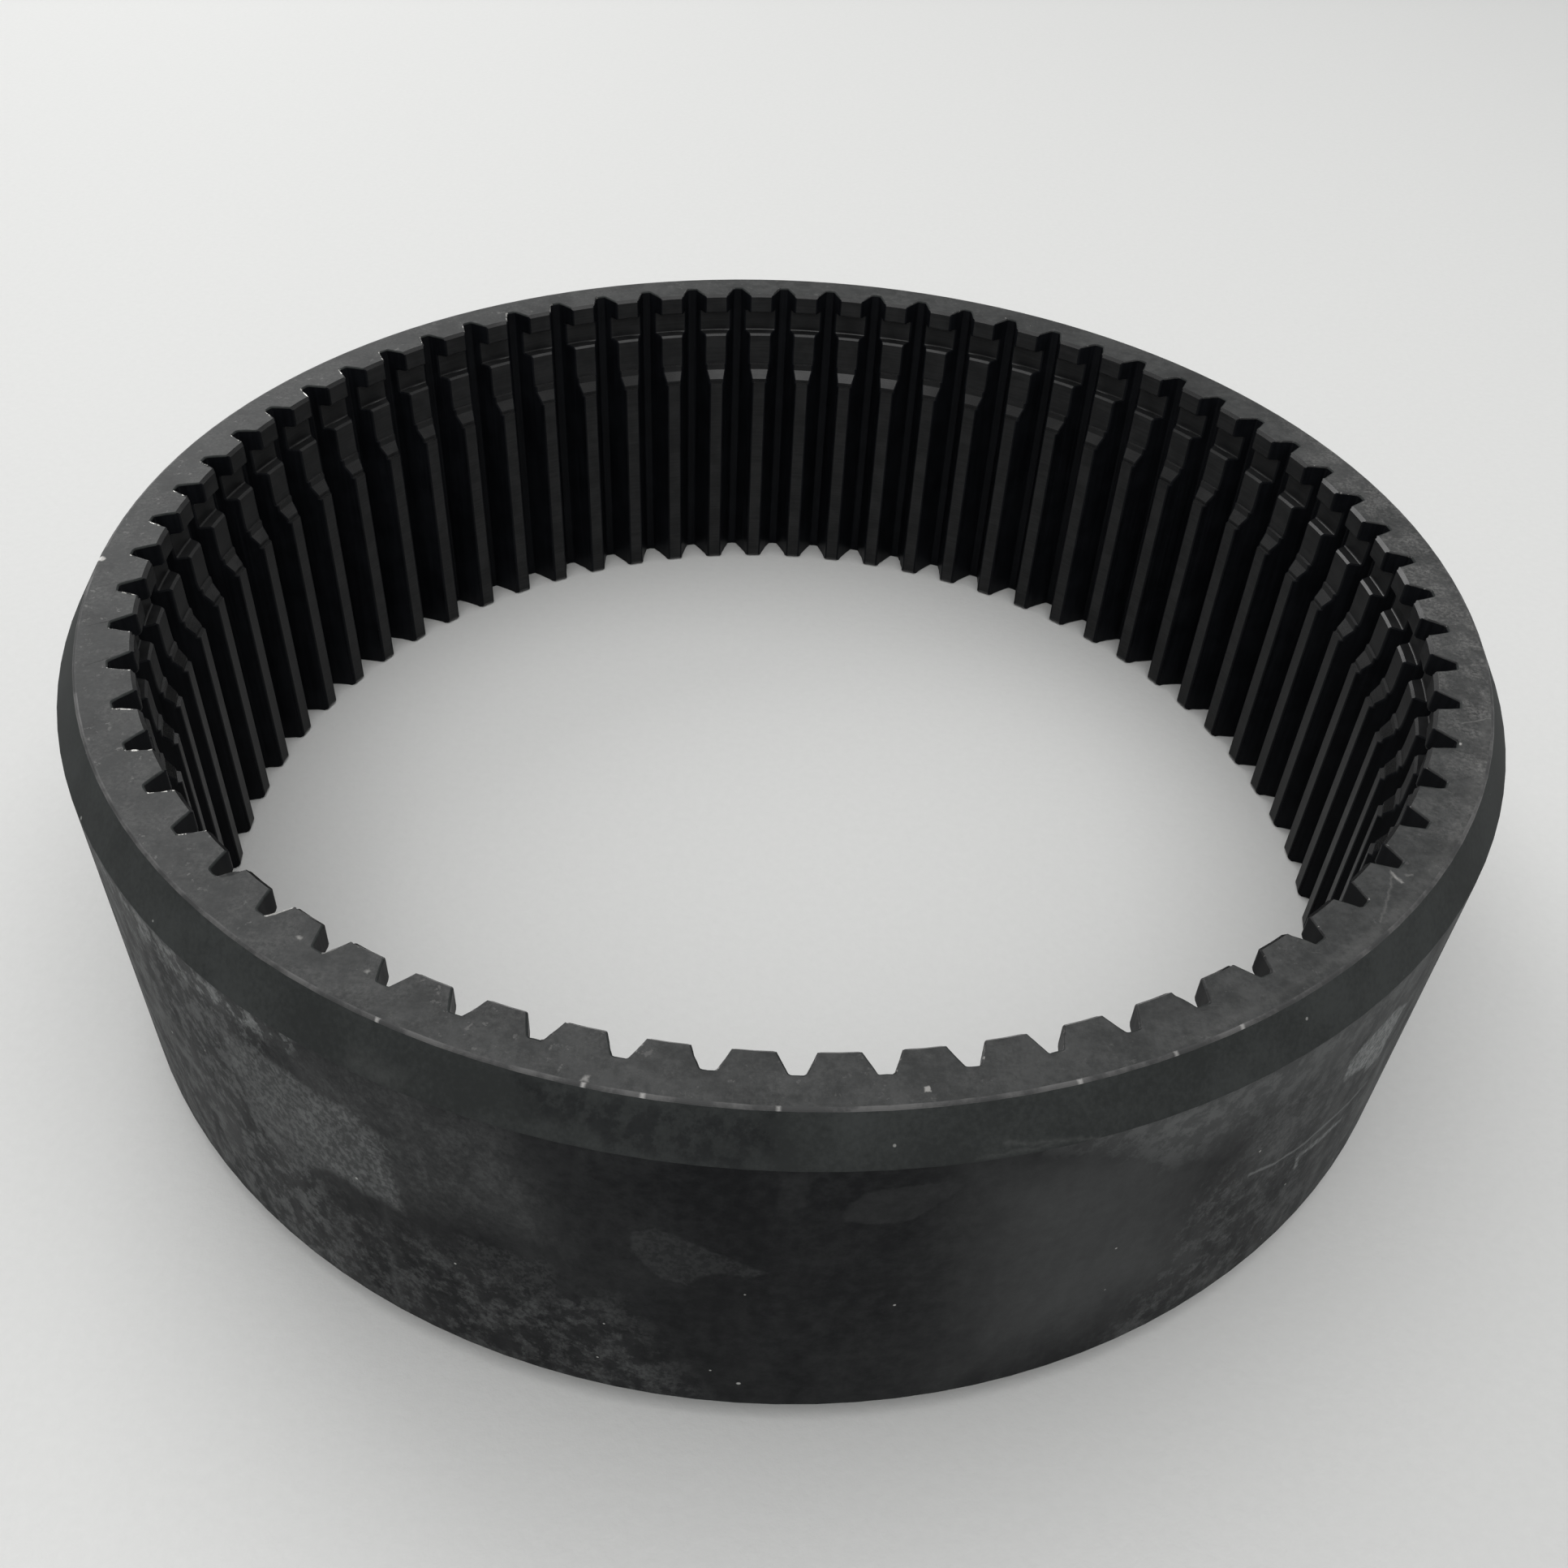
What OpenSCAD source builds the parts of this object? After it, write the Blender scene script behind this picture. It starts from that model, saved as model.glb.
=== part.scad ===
// Ring gear of a planetary hub drive: one solid steel ring with involute teeth on the inside.
// The tooth tips are turned back over the upper end and carry a snap ring groove.
// The ring stands on its lower face, with the origin at the centre of that face.

/* [Teeth] */
// Number of internal teeth
teeth = 66; // [48:1:96]
// Module, the pitch diameter divided by the number of teeth
tooth_module = 4; // [3:0.25:6]
// Pressure angle of the flanks in degrees
pressure_angle = 22.5; // [17.5:0.5:25]
// Height of the tips inside the pitch circle, in modules
addendum_factor = 0.75; // [0.6:0.05:1]
// Depth of the roots outside the pitch circle, in modules
dedendum_factor = 1.15; // [1:0.05:1.25]
// Radius of the fillet between flank and root
root_fillet = 0.5; // [0.2:0.05:0.8]

/* [Rim] */
// Height of the ring along its axis
face_width = 84; // [60:1:120]
// Wall between the tooth roots and the outside
rim_wall = 11; // [8:0.5:20]
// Radial width of the upper outer chamfer
top_chamfer_w = 4.9; // [1:0.1:7]
// Height of the upper outer chamfer
top_chamfer_h = 7.9; // [2:0.1:12]
// Radial width of the lower outer chamfer
bottom_chamfer_w = 3.7; // [1:0.1:7]
// Height of the lower outer chamfer
bottom_chamfer_h = 5.9; // [2:0.1:12]

/* [Turned tips] */
// How far the tips are cut back over the upper end
relief_cut = 3; // [2.5:0.1:4]
// Depth below the upper face at which the full teeth begin
relief_depth = 25.1; // [20:0.1:35]
// Radius of the run-out at the end of the turned land
runout_r = 20; // [8:1:30]
// Radial width of that run-out
runout_w = 0.15; // [0.05:0.05:0.4]
// Radial width of the upper tread of the shoulder
upper_tread_w = 0.55; // [0.3:0.05:0.8]
// Height of the riser below the upper tread
upper_riser_h = 1.5; // [0.8:0.1:2]
// Height of the ramp between the two risers
ramp_h = 2.2; // [1:0.1:3]
// Height of the riser above the lower tread
lower_riser_h = 0.8; // [0.4:0.1:1.2]
// Radial width of the lower tread of the shoulder
lower_tread_w = 0.8; // [0.4:0.05:1]
// Fall of each tread towards the axis
tread_fall = 0.2; // [0.1:0.05:0.4]
// Edge break of the tips at the upper face
top_break = 0.7; // [0.1:0.1:1]
// Edge break of the tips at the lower face
bottom_break = 0.9; // [0.2:0.1:1.5]

/* [Snap ring groove] */
// Depth of the upper groove wall below the upper face
groove_top = 5.3; // [4:0.1:9]
// Width of the groove along the axis
groove_w = 6.2; // [2.5:0.1:7]
// Depth of the groove from the turned tips
groove_depth = 2.8; // [1.5:0.1:4]
// Radius in the two corners of the groove floor
groove_fillet = 0.5; // [0.2:0.1:1.2]
// Edge break on the upper lip of the groove
upper_lip_break = 0.5; // [0.1:0.1:0.8]
// Lead-in chamfer on the lower lip of the groove
lower_lip_break = 0.5; // [0.2:0.1:1.2]

/* [Hidden] */
// Straight pieces in each flank and in each small arc, and facets of the whole ring
flank_parts = 4;
arc_parts = 2;
runout_parts = 3;
ring_fn = 264;
// Overrun of the tooth gaps past the surfaces they open
cut_over = 1;
// Largest share of the half root land that a root fillet may take
fillet_limit = 0.9;

// Radii of the gear circles
pitch_r = teeth * tooth_module / 2;
base_r = pitch_r * cos(pressure_angle);
tip_r = pitch_r - addendum_factor * tooth_module;
root_r = pitch_r + dedendum_factor * tooth_module;
outer_r = root_r + rim_wall;

// Turned section of the tips, heights counted from the lower face
relief_r = tip_r + relief_cut;
groove_floor_r = relief_r + groove_depth;
groove_upper_z = face_width - groove_top;
groove_lower_z = groove_upper_z - groove_w;
shoulder_z = face_width - relief_depth;
shoulder_h = upper_riser_h + ramp_h + lower_riser_h + 2 * tread_fall;
runout_z = shoulder_z + shoulder_h;
runout_angle = acos(1 - runout_w / runout_r);
land_z = runout_z + runout_r * sin(runout_angle);
upper_tread_r = relief_r - runout_w - upper_tread_w;
lower_tread_r = tip_r + lower_tread_w;

// Points along an arc from angle a0 to angle a1
function arc(centre, r, a0, a1, parts) = [
    for (i = [0 : parts])
        let (a = a0 + (a1 - a0) * i / parts)
        centre + r * [cos(a), sin(a)]
];

// Outside of the section, from the lower face up to the upper face
function outer_side() = [
    [outer_r - bottom_chamfer_w, 0],
    [outer_r, bottom_chamfer_h],
    [outer_r, face_width - top_chamfer_h],
    [outer_r - top_chamfer_w, face_width]
];

// Turned land at the upper end of the tips, with an edge break at the face and at the groove
function land_side() = [
    [relief_r + top_break, face_width],
    [relief_r, face_width - top_break],
    [relief_r, groove_upper_z + upper_lip_break],
    [relief_r + upper_lip_break, groove_upper_z]
];

// Snap ring groove across the turned tips, with rounded floor corners and a lead-in below
function groove_side() = let (
    corner_r = groove_floor_r - groove_fillet,
    upper = [corner_r, groove_upper_z - groove_fillet],
    lower = [corner_r, groove_lower_z + groove_fillet]
) concat(
    arc(upper, groove_fillet, 90, 0, arc_parts),
    arc(lower, groove_fillet, 0, -90, arc_parts),
    [[relief_r + lower_lip_break, groove_lower_z], [relief_r, groove_lower_z - lower_lip_break]]
);

// Concave run-out of the land, and the shoulder of two treads and two risers with a ramp between
function runout_side() = arc([relief_r - runout_r, land_z], runout_r, 0, -runout_angle, runout_parts);
function shoulder_side() = [
    [upper_tread_r, runout_z - tread_fall],
    [upper_tread_r, runout_z - tread_fall - upper_riser_h],
    [lower_tread_r, shoulder_z + tread_fall + lower_riser_h],
    [lower_tread_r, shoulder_z + tread_fall],
    [tip_r, shoulder_z]
];

// Full tips below the shoulder, down to the edge break at the lower face
function tip_side() = [
    [tip_r, bottom_break],
    [tip_r + bottom_break, 0]
];

// Pressure angle at radius r, and the involute function in degrees
function angle_at(r) = acos(min(1, base_r / r));
function involute(a) = tan(a) * 180 / PI - a;

// Half of the angle that a tooth gap spans at radius r, and the flank there
function gap_half(r) = 90 / teeth + involute(pressure_angle) - involute(angle_at(r));
function flank_point(r) = r * [cos(gap_half(r)), sin(gap_half(r))];

// Lean of the flank at the root, and the fillet that fits between flank and root land
root_corner = flank_point(root_r);
root_lean = angle_at(root_r) - gap_half(root_r);
corner_tan = tan((90 + root_lean) / 2);
root_fillet_r = min(root_fillet, fillet_limit * root_corner[1] * corner_tan);
fillet_reach = root_fillet_r / corner_tan;
flank_start_r = tip_r - cut_over;
flank_end_r = root_r - fillet_reach * cos(root_lean);

// One side of a tooth gap, from inside the tips out along the flank to the root land
function flank_side() = [
    for (i = [0 : flank_parts - 1])
        flank_point(flank_start_r + (flank_end_r - flank_start_r) * i / flank_parts)
];
function root_side() =
    arc(root_corner - [root_fillet_r, fillet_reach], root_fillet_r, 90 - root_lean, 0, arc_parts);
function gap_side() = concat(flank_side(), root_side());
function mirrored(points) = [
    for (i = [len(points) - 1 : -1 : 0])
        [points[i][0], -points[i][1]]
];

// Turned ring before the teeth are cut
module blank() {
    rotate_extrude($fn = ring_fn)
        polygon(concat(outer_side(), land_side(), groove_side(), runout_side(), shoulder_side(), tip_side()));
}

// Tooth gap through the whole height, centred on the +X axis
module tooth_gap() {
    translate([0, 0, -cut_over])
        linear_extrude(face_width + 2 * cut_over)
            polygon(concat(gap_side(), mirrored(gap_side())));
}

module ring_gear() {
    color([0.23, 0.24, 0.26])
        difference() {
            blank();
            for (i = [0 : teeth - 1])
                rotate([0, 0, i * 360 / teeth])
                    tooth_gap();
        }
}

ring_gear();
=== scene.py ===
"""Looks of an internal ring gear: a blackened steel ring with turned back, grooved tooth tips.

The ring is turned from a section, its tooth gaps are cut out, the cut edges are broken, and every zone of
the surface gets its own procedural finish. All lengths are in metres.
"""

import logging
import math
from dataclasses import dataclass, field
from enum import IntEnum

import bmesh
import bpy
from mathutils import Matrix, Vector, noise


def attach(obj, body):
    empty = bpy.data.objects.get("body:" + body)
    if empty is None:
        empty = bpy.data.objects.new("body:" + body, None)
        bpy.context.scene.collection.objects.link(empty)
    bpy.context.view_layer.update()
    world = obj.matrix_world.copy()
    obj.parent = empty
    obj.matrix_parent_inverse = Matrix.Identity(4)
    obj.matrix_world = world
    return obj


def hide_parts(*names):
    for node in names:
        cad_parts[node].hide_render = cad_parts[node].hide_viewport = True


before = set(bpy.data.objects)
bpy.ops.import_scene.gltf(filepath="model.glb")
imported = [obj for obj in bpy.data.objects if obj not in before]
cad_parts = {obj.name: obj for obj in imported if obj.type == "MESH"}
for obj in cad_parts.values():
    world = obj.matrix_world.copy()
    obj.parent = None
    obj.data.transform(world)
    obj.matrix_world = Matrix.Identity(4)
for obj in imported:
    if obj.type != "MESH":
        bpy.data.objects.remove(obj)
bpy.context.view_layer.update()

LOG = logging.getLogger("ring_gear")
MM = 0.001
TURN = 2.0 * math.pi
WELD = 0.001 * MM
NODE = "ring_gear"
BODY = "root"

Triple = tuple[float, float, float]
Colour = Triple
Spot = tuple[float, float]
Socket = bpy.types.NodeSocket


class Zone(IntEnum):
    """Zones of the ring's surface, in the order of its material slots."""

    FACE = 0
    CHAMFER = 1
    WALL = 2
    LAND = 3
    GAP = 4
    EDGE = 5
    LIP = 6
    RIM = 7


class NodeBench:
    """Short ways to add and wire the shader nodes of one node tree."""

    def __init__(self, tree: bpy.types.NodeTree) -> None:
        """Take the tree that the nodes go into.

        Args:
            tree: The node tree of a material, a world or a node group.
        """
        self.tree = tree

    def add(self, kind: str, **settings: object) -> bpy.types.Node:
        """Add a node and set its properties.

        Args:
            kind: The node's type name without the ShaderNode prefix.
            settings: Properties of the node, by name.

        Returns:
            The new node.
        """
        node = self.tree.nodes.new("ShaderNode" + kind)
        for name, value in settings.items():
            setattr(node, name, value)
        return node

    def put(self, socket: Socket, value: object) -> None:
        """Wire a socket, or set its value.

        Args:
            socket: The input to fill.
            value: An output socket, a number or a colour.
        """
        if isinstance(value, bpy.types.NodeSocket):
            self.tree.links.new(value, socket)
        elif isinstance(value, tuple) and len(value) == 3 and socket.type == "RGBA":
            socket.default_value = (*value, 1.0)
        else:
            socket.default_value = value

    def math(self, operation: str, a: object, b: object = 0.0) -> Socket:
        """Return the result of a math node.

        Args:
            operation: Name of the operation.
            a: First number or socket.
            b: Second number or socket.

        Returns:
            The output socket.
        """
        node = self.add("Math", operation=operation)
        self.put(node.inputs[0], a)
        self.put(node.inputs[1], b)
        return node.outputs[0]

    def both(self, a: object, b: object) -> Socket:
        """Return the product of two numbers or sockets."""
        return self.math("MULTIPLY", a, b)

    def most(self, a: object, b: object) -> Socket:
        """Return the larger of two numbers or sockets."""
        return self.math("MAXIMUM", a, b)

    def total(self, a: object, b: object) -> Socket:
        """Return the sum of two numbers or sockets."""
        return self.math("ADD", a, b)

    def spread(
        self, value: object, low: float, high: float, start: float = 0.0, end: float = 1.0,
    ) -> Socket:
        """Map a range of numbers smoothly onto another, and hold it at the ends.

        Args:
            value: The number or socket to map.
            low: Value that gives start.
            high: Value that gives end.
            start: Result at low.
            end: Result at high.

        Returns:
            The output socket.
        """
        node = self.add("MapRange", interpolation_type="SMOOTHSTEP")
        for index, item in enumerate((value, low, high, start, end)):
            self.put(node.inputs[index], item)
        return node.outputs[0]

    def blend(self, share: object, first: object, second: object) -> Socket:
        """Mix two colours.

        Args:
            share: How much of the second colour shows.
            first: Colour or socket.
            second: Colour or socket.

        Returns:
            The colour socket.
        """
        node = self.add("Mix", data_type="RGBA")
        self.put(node.inputs["Factor"], share)
        self.put(node.inputs[6], first)
        self.put(node.inputs[7], second)
        return node.outputs[2]

    def place(self) -> Socket:
        """Return the object coordinates, in metres."""
        return self.add("TexCoord").outputs["Object"]

    def stretched(self, scale: Triple, shift: Triple = (0, 0, 0)) -> Socket:
        """Return object coordinates with a scale on each axis.

        Args:
            scale: Factors along X, Y and Z.
            shift: Offset added after scaling, so that two patterns differ.

        Returns:
            The vector socket.
        """
        node = self.add("Mapping")
        self.put(node.inputs["Vector"], self.place())
        node.inputs["Scale"].default_value = scale
        node.inputs["Location"].default_value = shift
        return node.outputs["Vector"]

    def shifted(self, x: float, y: float, z: float) -> Socket:
        """Return object coordinates moved along, so that two patterns of one size differ."""
        return self.stretched((1, 1, 1), (x, y, z))

    def noise(
        self, size: float, detail: float = 4.0, rough: float = 0.55, vector: Socket | None = None,
    ) -> Socket:
        """Return fractal noise between 0 and 1.

        Args:
            size: Width of the largest lumps, in metres along an unscaled axis.
            detail: Number of octaves.
            rough: Share of the finer octaves.
            vector: Coordinates, or None for the object's own.

        Returns:
            The value socket.
        """
        node = self.add("TexNoise")
        self.put(node.inputs["Vector"], vector or self.place())
        node.inputs["Scale"].default_value = 1.0 / size
        node.inputs["Detail"].default_value = detail
        node.inputs["Roughness"].default_value = rough
        return node.outputs["Fac"]

    def specks(self, size: float, radius: float, share: float, vector: Socket | None = None) -> Socket:
        """Return scattered round dots, 1 inside a dot.

        Args:
            size: Width in metres of the cells that may hold a dot.
            radius: Radius of a dot as a share of its cell.
            share: Share of the cells that hold a dot.
            vector: Coordinates, or None for the object's own.

        Returns:
            The mask socket.
        """
        node = self.add("TexVoronoi")
        self.put(node.inputs["Vector"], vector or self.place())
        node.inputs["Scale"].default_value = 1.0 / size
        dots = self.spread(node.outputs["Distance"], 0.5 * radius, radius, 1.0, 0.0)
        split = self.add("SeparateXYZ")
        self.put(split.inputs[0], node.outputs["Color"])
        chosen = self.math("LESS_THAN", split.outputs["X"], share)
        return self.both(dots, chosen)

    def warped(self, vector: Socket, size: float, amount: float) -> Socket:
        """Push unrolled coordinates about, so that outlines drawn in them turn ragged.

        Args:
            vector: Unrolled coordinates.
            size: Width of the largest lumps of the push.
            amount: Full range of the push in metres.

        Returns:
            The pushed coordinates.
        """
        node = self.add("TexNoise")
        self.put(node.inputs["Vector"], self.place())
        node.inputs["Scale"].default_value = 1.0 / size
        node.inputs["Detail"].default_value = 5.0
        node.inputs["Roughness"].default_value = 0.62
        centred = self.vector("SUBTRACT", node.outputs["Color"], (0.5, 0.5, 0.5))
        return self.vector("ADD", vector, self.vector("MULTIPLY", centred, (amount, amount, 0.0)))

    def vector(self, operation: str, a: object, b: object) -> Socket:
        """Return the vector result of a vector math node.

        Args:
            operation: Name of the operation.
            a: First vector or socket.
            b: Second vector or socket.

        Returns:
            The output socket.
        """
        node = self.add("VectorMath", operation=operation)
        self.put(node.inputs[0], a)
        self.put(node.inputs[1], b)
        return node.outputs["Value" if operation == "DOT_PRODUCT" else "Vector"]

    def unrolled(self, radius: float, flat: bool, top: float) -> Socket:
        """Return coordinates that unroll a wall or an end face: way along the rim, level and 1.

        Args:
            radius: Radius at which the way along the rim is measured.
            flat: Whether the level is the distance from the axis, as on an end face.
            top: Height from which the level is counted down on a wall.

        Returns:
            The vector socket.
        """
        split = self.add("SeparateXYZ")
        self.put(split.inputs[0], self.place())
        x, y, z = split.outputs[0], split.outputs[1], split.outputs[2]
        along = self.both(self.math("ARCTAN2", y, x), radius)
        if flat:
            level = self.math("SQRT", self.total(self.both(x, x), self.both(y, y)))
        else:
            level = self.math("SUBTRACT", top, z)
        joined = self.add("CombineXYZ")
        self.put(joined.inputs[0], along)
        self.put(joined.inputs[1], level)
        joined.inputs[2].default_value = 1.0
        return joined.outputs[0]

    def bump(self, height: Socket, depth: float, strength: float = 1.0) -> Socket:
        """Return a normal that follows a height pattern.

        Args:
            height: The pattern, between 0 and 1.
            depth: Height in metres of a full step of the pattern.
            strength: Share of the effect.

        Returns:
            The normal socket.
        """
        node = self.add("Bump")
        node.inputs["Strength"].default_value = strength
        node.inputs["Distance"].default_value = depth
        self.put(node.inputs["Height"], height)
        return node.outputs["Normal"]


def unrolled_spot(spot: Spot, radius: float) -> Vector:
    """Return a place on the unrolled surface.

    Args:
        spot: Direction about the axis in degrees, and level in millimetres.
        radius: Radius at which the way along the rim is measured.

    Returns:
        The place in metres.
    """
    return Vector((math.radians(spot[0]) * radius, spot[1] * MM))


@dataclass(frozen=True, kw_only=True)
class Mark:
    """A pale mark on the ring, drawn in unrolled coordinates.

    Attributes:
        strength: Share of the pale colour in it.
        soft: Width of its edge.
        grain: How much the fine cell pattern shows in it.
        blotch: How much the coarse pattern shows in it.
    """

    strength: float
    soft: float = 0.5 * MM
    grain: float = 0.0
    blotch: float = 0.0

    def outline(self, radius: float) -> list[Vector]:
        """Return the corners of the mark on the unrolled surface.

        Args:
            radius: Radius at which the way along the rim is measured.

        Returns:
            Corners of a convex outline.
        """
        raise NotImplementedError

    def mask(self, bench: NodeBench, vector: Socket, radius: float, fine: Socket, coarse: Socket) -> Socket:
        """Return the share of the pale colour that the mark gives.

        Args:
            bench: The bench of the material's tree.
            vector: Unrolled coordinates.
            radius: Radius at which the way along the rim is measured.
            fine: Fine cell pattern.
            coarse: Coarse pattern.

        Returns:
            The mask socket.
        """
        corners = self.outline(radius)
        pairs = list(zip(corners, corners[1:] + corners[:1]))
        turn = math.copysign(1.0, sum(a.x * b.y - b.x * a.y for a, b in pairs))
        inside: Socket | None = None
        for a, b in pairs:
            way = (b - a).normalized() * turn
            edge = (-way.y, way.x, way.y * a.x - way.x * a.y)
            distance = bench.vector("DOT_PRODUCT", vector, edge)
            inside = distance if inside is None else bench.math("MINIMUM", inside, distance)
        shown = bench.spread(inside, -self.soft, self.soft, 0.0, self.strength)
        for pattern, share in ((fine, self.grain), (coarse, self.blotch)):
            if share:
                shown = bench.both(shown, bench.spread(pattern, 0.0, 1.0, 1.0 - share, 1.0))
        return shown


@dataclass(frozen=True)
class Patch(Mark):
    """A mark with a convex outline, such as a stain, a nick, a darker patch, and on the wall a broad patch
    that is partly painted sheen.

    Attributes:
        corners: Direction about the axis in degrees, and level in millimetres, of each corner.
    """

    corners: tuple[Spot, ...]

    def outline(self, radius: float) -> list[Vector]:
        """Return the corners on the unrolled surface."""
        return [unrolled_spot(corner, radius) for corner in self.corners]


@dataclass(frozen=True)
class Streak(Mark):
    """A straight smear or scratch.

    Attributes:
        start: Direction in degrees and level in millimetres of one end.
        end: The same of the other end.
        width: Width of the streak.
    """

    start: Spot
    end: Spot
    width: float

    def outline(self, radius: float) -> list[Vector]:
        """Return the corners on the unrolled surface.

        Args:
            radius: Radius at which the way along the rim is measured.

        Returns:
            The four corners of the streak.
        """
        a = unrolled_spot(self.start, radius)
        b = unrolled_spot(self.end, radius)
        side = (b - a).normalized() * (self.width / 2)
        out = Vector((-side.y, side.x))
        return [a + out, b + out, b - out, a - out]


def all_marks(
    bench: NodeBench, vector: Socket, radius: float, fine: Socket, coarse: Socket, marks: tuple[Mark, ...],
) -> Socket:
    """Return the share of the pale colour from a whole set of marks.

    Args:
        bench: The bench of the material's tree.
        vector: Unrolled coordinates.
        radius: Radius at which the way along the rim is measured.
        fine: Fine cell pattern.
        coarse: Coarse pattern.
        marks: The marks.

    Returns:
        The largest share at each place.
    """
    total = marks[0].mask(bench, vector, radius, fine, coarse)
    for mark in marks[1:]:
        total = bench.most(total, mark.mask(bench, vector, radius, fine, coarse))
    return total


class Finish:
    """A procedural finish of the ring."""

    name = "finish"
    specular = 0.1

    def dress(self, bench: NodeBench, shader: bpy.types.Node) -> None:
        """Wire the colour, roughness and bump of the finish.

        Args:
            bench: The bench of the material's tree.
            shader: The surface shader to feed.
        """
        raise NotImplementedError

    def make(self) -> bpy.types.Material:
        """Build the material.

        Returns:
            The new material.
        """
        material = bpy.data.materials.new(self.name)
        material.use_nodes = True
        shader = material.node_tree.nodes["Principled BSDF"]
        shader.inputs["Specular IOR Level"].default_value = self.specular
        self.dress(NodeBench(material.node_tree), shader)
        return material


@dataclass(frozen=True)
class GroundFace(Finish):
    """Ground end face: grey, mottled, with dry stains, faint scratches and a few pale nicks."""

    name: str = "ground_face"
    specular: float = 0.14
    radius: float = 138 * MM
    smudge: Colour = (0.024, 0.0245, 0.0245)
    dark: Colour = (0.0305, 0.0318, 0.0315)
    grey: Colour = (0.0550, 0.0562, 0.0556)
    stain: Colour = (0.150, 0.148, 0.144)
    bare: Colour = (0.46, 0.45, 0.43)
    marks: tuple[Mark, ...] = (
        Streak((-44.5, 140.6), (-39.6, 136.6), 0.3 * MM, strength=0.13, soft=0.25 * MM, grain=0.4),
        Streak((-39.9, 138.7), (-39.4, 136.0), 0.5 * MM, strength=0.62, soft=0.3 * MM, grain=0.7),
        Streak((-38.6, 139.2), (-39.0, 138.2), 0.35 * MM, strength=0.25, soft=0.3 * MM, grain=0.6),
        Streak((-173.7, 142.9), (-173.3, 141.7), 1.2 * MM, strength=1.0, soft=0.25 * MM),
        Streak((-17.3, 142.4), (-18.9, 137.0), 0.22 * MM, strength=0.24, soft=0.2 * MM, grain=0.4),
        Streak((-64.0, 141.2), (-48.0, 140.2), 0.8 * MM, strength=0.035, soft=0.8 * MM),
        Patch(
            ((-79.8, 140.4), (-79.4, 140.4), (-79.45, 139.5), (-79.7, 139.5)),
            strength=0.55, soft=0.15 * MM,
        ),
        Patch(
            ((-99.9, 142.0), (-99.5, 142.0), (-99.55, 141.1), (-99.75, 141.1)),
            strength=0.42, soft=0.35 * MM,
        ),
        Patch(
            ((-121.9, 136.7), (-121.6, 136.7), (-121.6, 136.3), (-121.8, 136.3)),
            strength=0.42, soft=0.3 * MM,
        ),
        Patch(
            ((-116.2, 136.1), (-115.9, 136.1), (-115.9, 135.5), (-116.1, 135.5)),
            strength=0.36, soft=0.35 * MM,
        ),
        Streak(
            (-50.0, 141.2), (-14.0, 141.4), 1.6 * MM,
            strength=0.1, soft=1.2 * MM, grain=0.6, blotch=0.8,
        ),
        Patch(
            ((-21.9, 137.3), (-21.5, 137.3), (-21.6, 136.5), (-21.8, 136.5)),
            strength=0.6, soft=0.2 * MM,
        ),
    )

    def dress(self, bench: NodeBench, shader: bpy.types.Node) -> None:
        """Wire clouds, smudges, stains that grow towards one side, scratches and nicks.

        Args:
            bench: The bench of the material's tree.
            shader: The surface shader to feed.
        """
        cloud = bench.noise(24 * MM, 6.0, 0.62)
        mottle = bench.noise(4.5 * MM, 6.0, 0.68)
        grain = bench.noise(0.7 * MM, 3.0, 0.6)
        fine = bench.noise(1.6 * MM, 4.0, 0.7, bench.shifted(4, 6, 2))
        tone = bench.total(bench.both(cloud, 0.3), bench.both(mottle, 0.35))
        tone = bench.total(tone, bench.both(fine, 0.35))
        colour = bench.blend(bench.spread(tone, 0.40, 0.60), self.dark, self.grey)
        smudges = bench.noise(13 * MM, 6.0, 0.66, bench.shifted(2, 8, 4))
        colour = bench.blend(bench.spread(smudges, 0.5, 0.68, 0.0, 0.6), colour, self.smudge)
        scratch = self.scratches(bench)
        stains = bench.most(self.stains(bench), bench.both(scratch, 0.16))
        colour = bench.blend(stains, colour, self.stain)
        place = bench.warped(bench.unrolled(self.radius, True, 0.0), 1.6 * MM, 1.3 * MM)
        nicks = all_marks(bench, place, self.radius, grain, mottle, self.marks)
        nicks = bench.most(nicks, bench.both(bench.specks(6 * MM, 0.05, 0.25), 0.45))
        colour = bench.blend(nicks, colour, self.bare)
        bench.put(shader.inputs["Base Color"], colour)
        bench.put(shader.inputs["Roughness"], bench.spread(tone, 0.3, 0.7, 0.42, 0.58))
        relief = bench.total(bench.both(fine, 0.6), bench.both(grain, 0.4))
        relief = bench.math("SUBTRACT", relief, bench.both(scratch, 0.2))
        bench.put(shader.inputs["Normal"], bench.bump(relief, 0.05 * MM, 0.5))

    def stains(self, bench: NodeBench) -> Socket:
        """Return dry stains with a broken grain, thickest towards -X.

        Args:
            bench: The bench of the material's tree.

        Returns:
            The mask socket.
        """
        split = bench.add("SeparateXYZ")
        bench.put(split.inputs[0], bench.place())
        left = bench.spread(split.outputs["X"], 60 * MM, -142 * MM, 0.10, 0.30)
        right = bench.spread(split.outputs["X"], 100 * MM, 142 * MM, 0.0, 0.85)
        side = bench.most(left, right)
        area = bench.spread(bench.noise(7 * MM, 6.0, 0.76, bench.shifted(5, 3, 1)), 0.42, 0.62, 0.15, 1.0)
        grain = bench.spread(bench.noise(0.8 * MM, 4.0, 0.74, bench.shifted(7, 1, 2)), 0.36, 0.64)
        dry = bench.both(bench.both(area, grain), side)
        flecks = bench.spread(bench.noise(1.8 * MM, 3.0, 0.7, bench.shifted(2, 9, 6)), 0.58, 0.66)
        ground = bench.spread(bench.noise(8 * MM, 4.0, 0.7, bench.shifted(8, 4, 3)), 0.46, 0.58)
        flecks = bench.both(bench.both(flecks, ground), bench.both(left, 2.4))
        return bench.most(dry, flecks)

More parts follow.
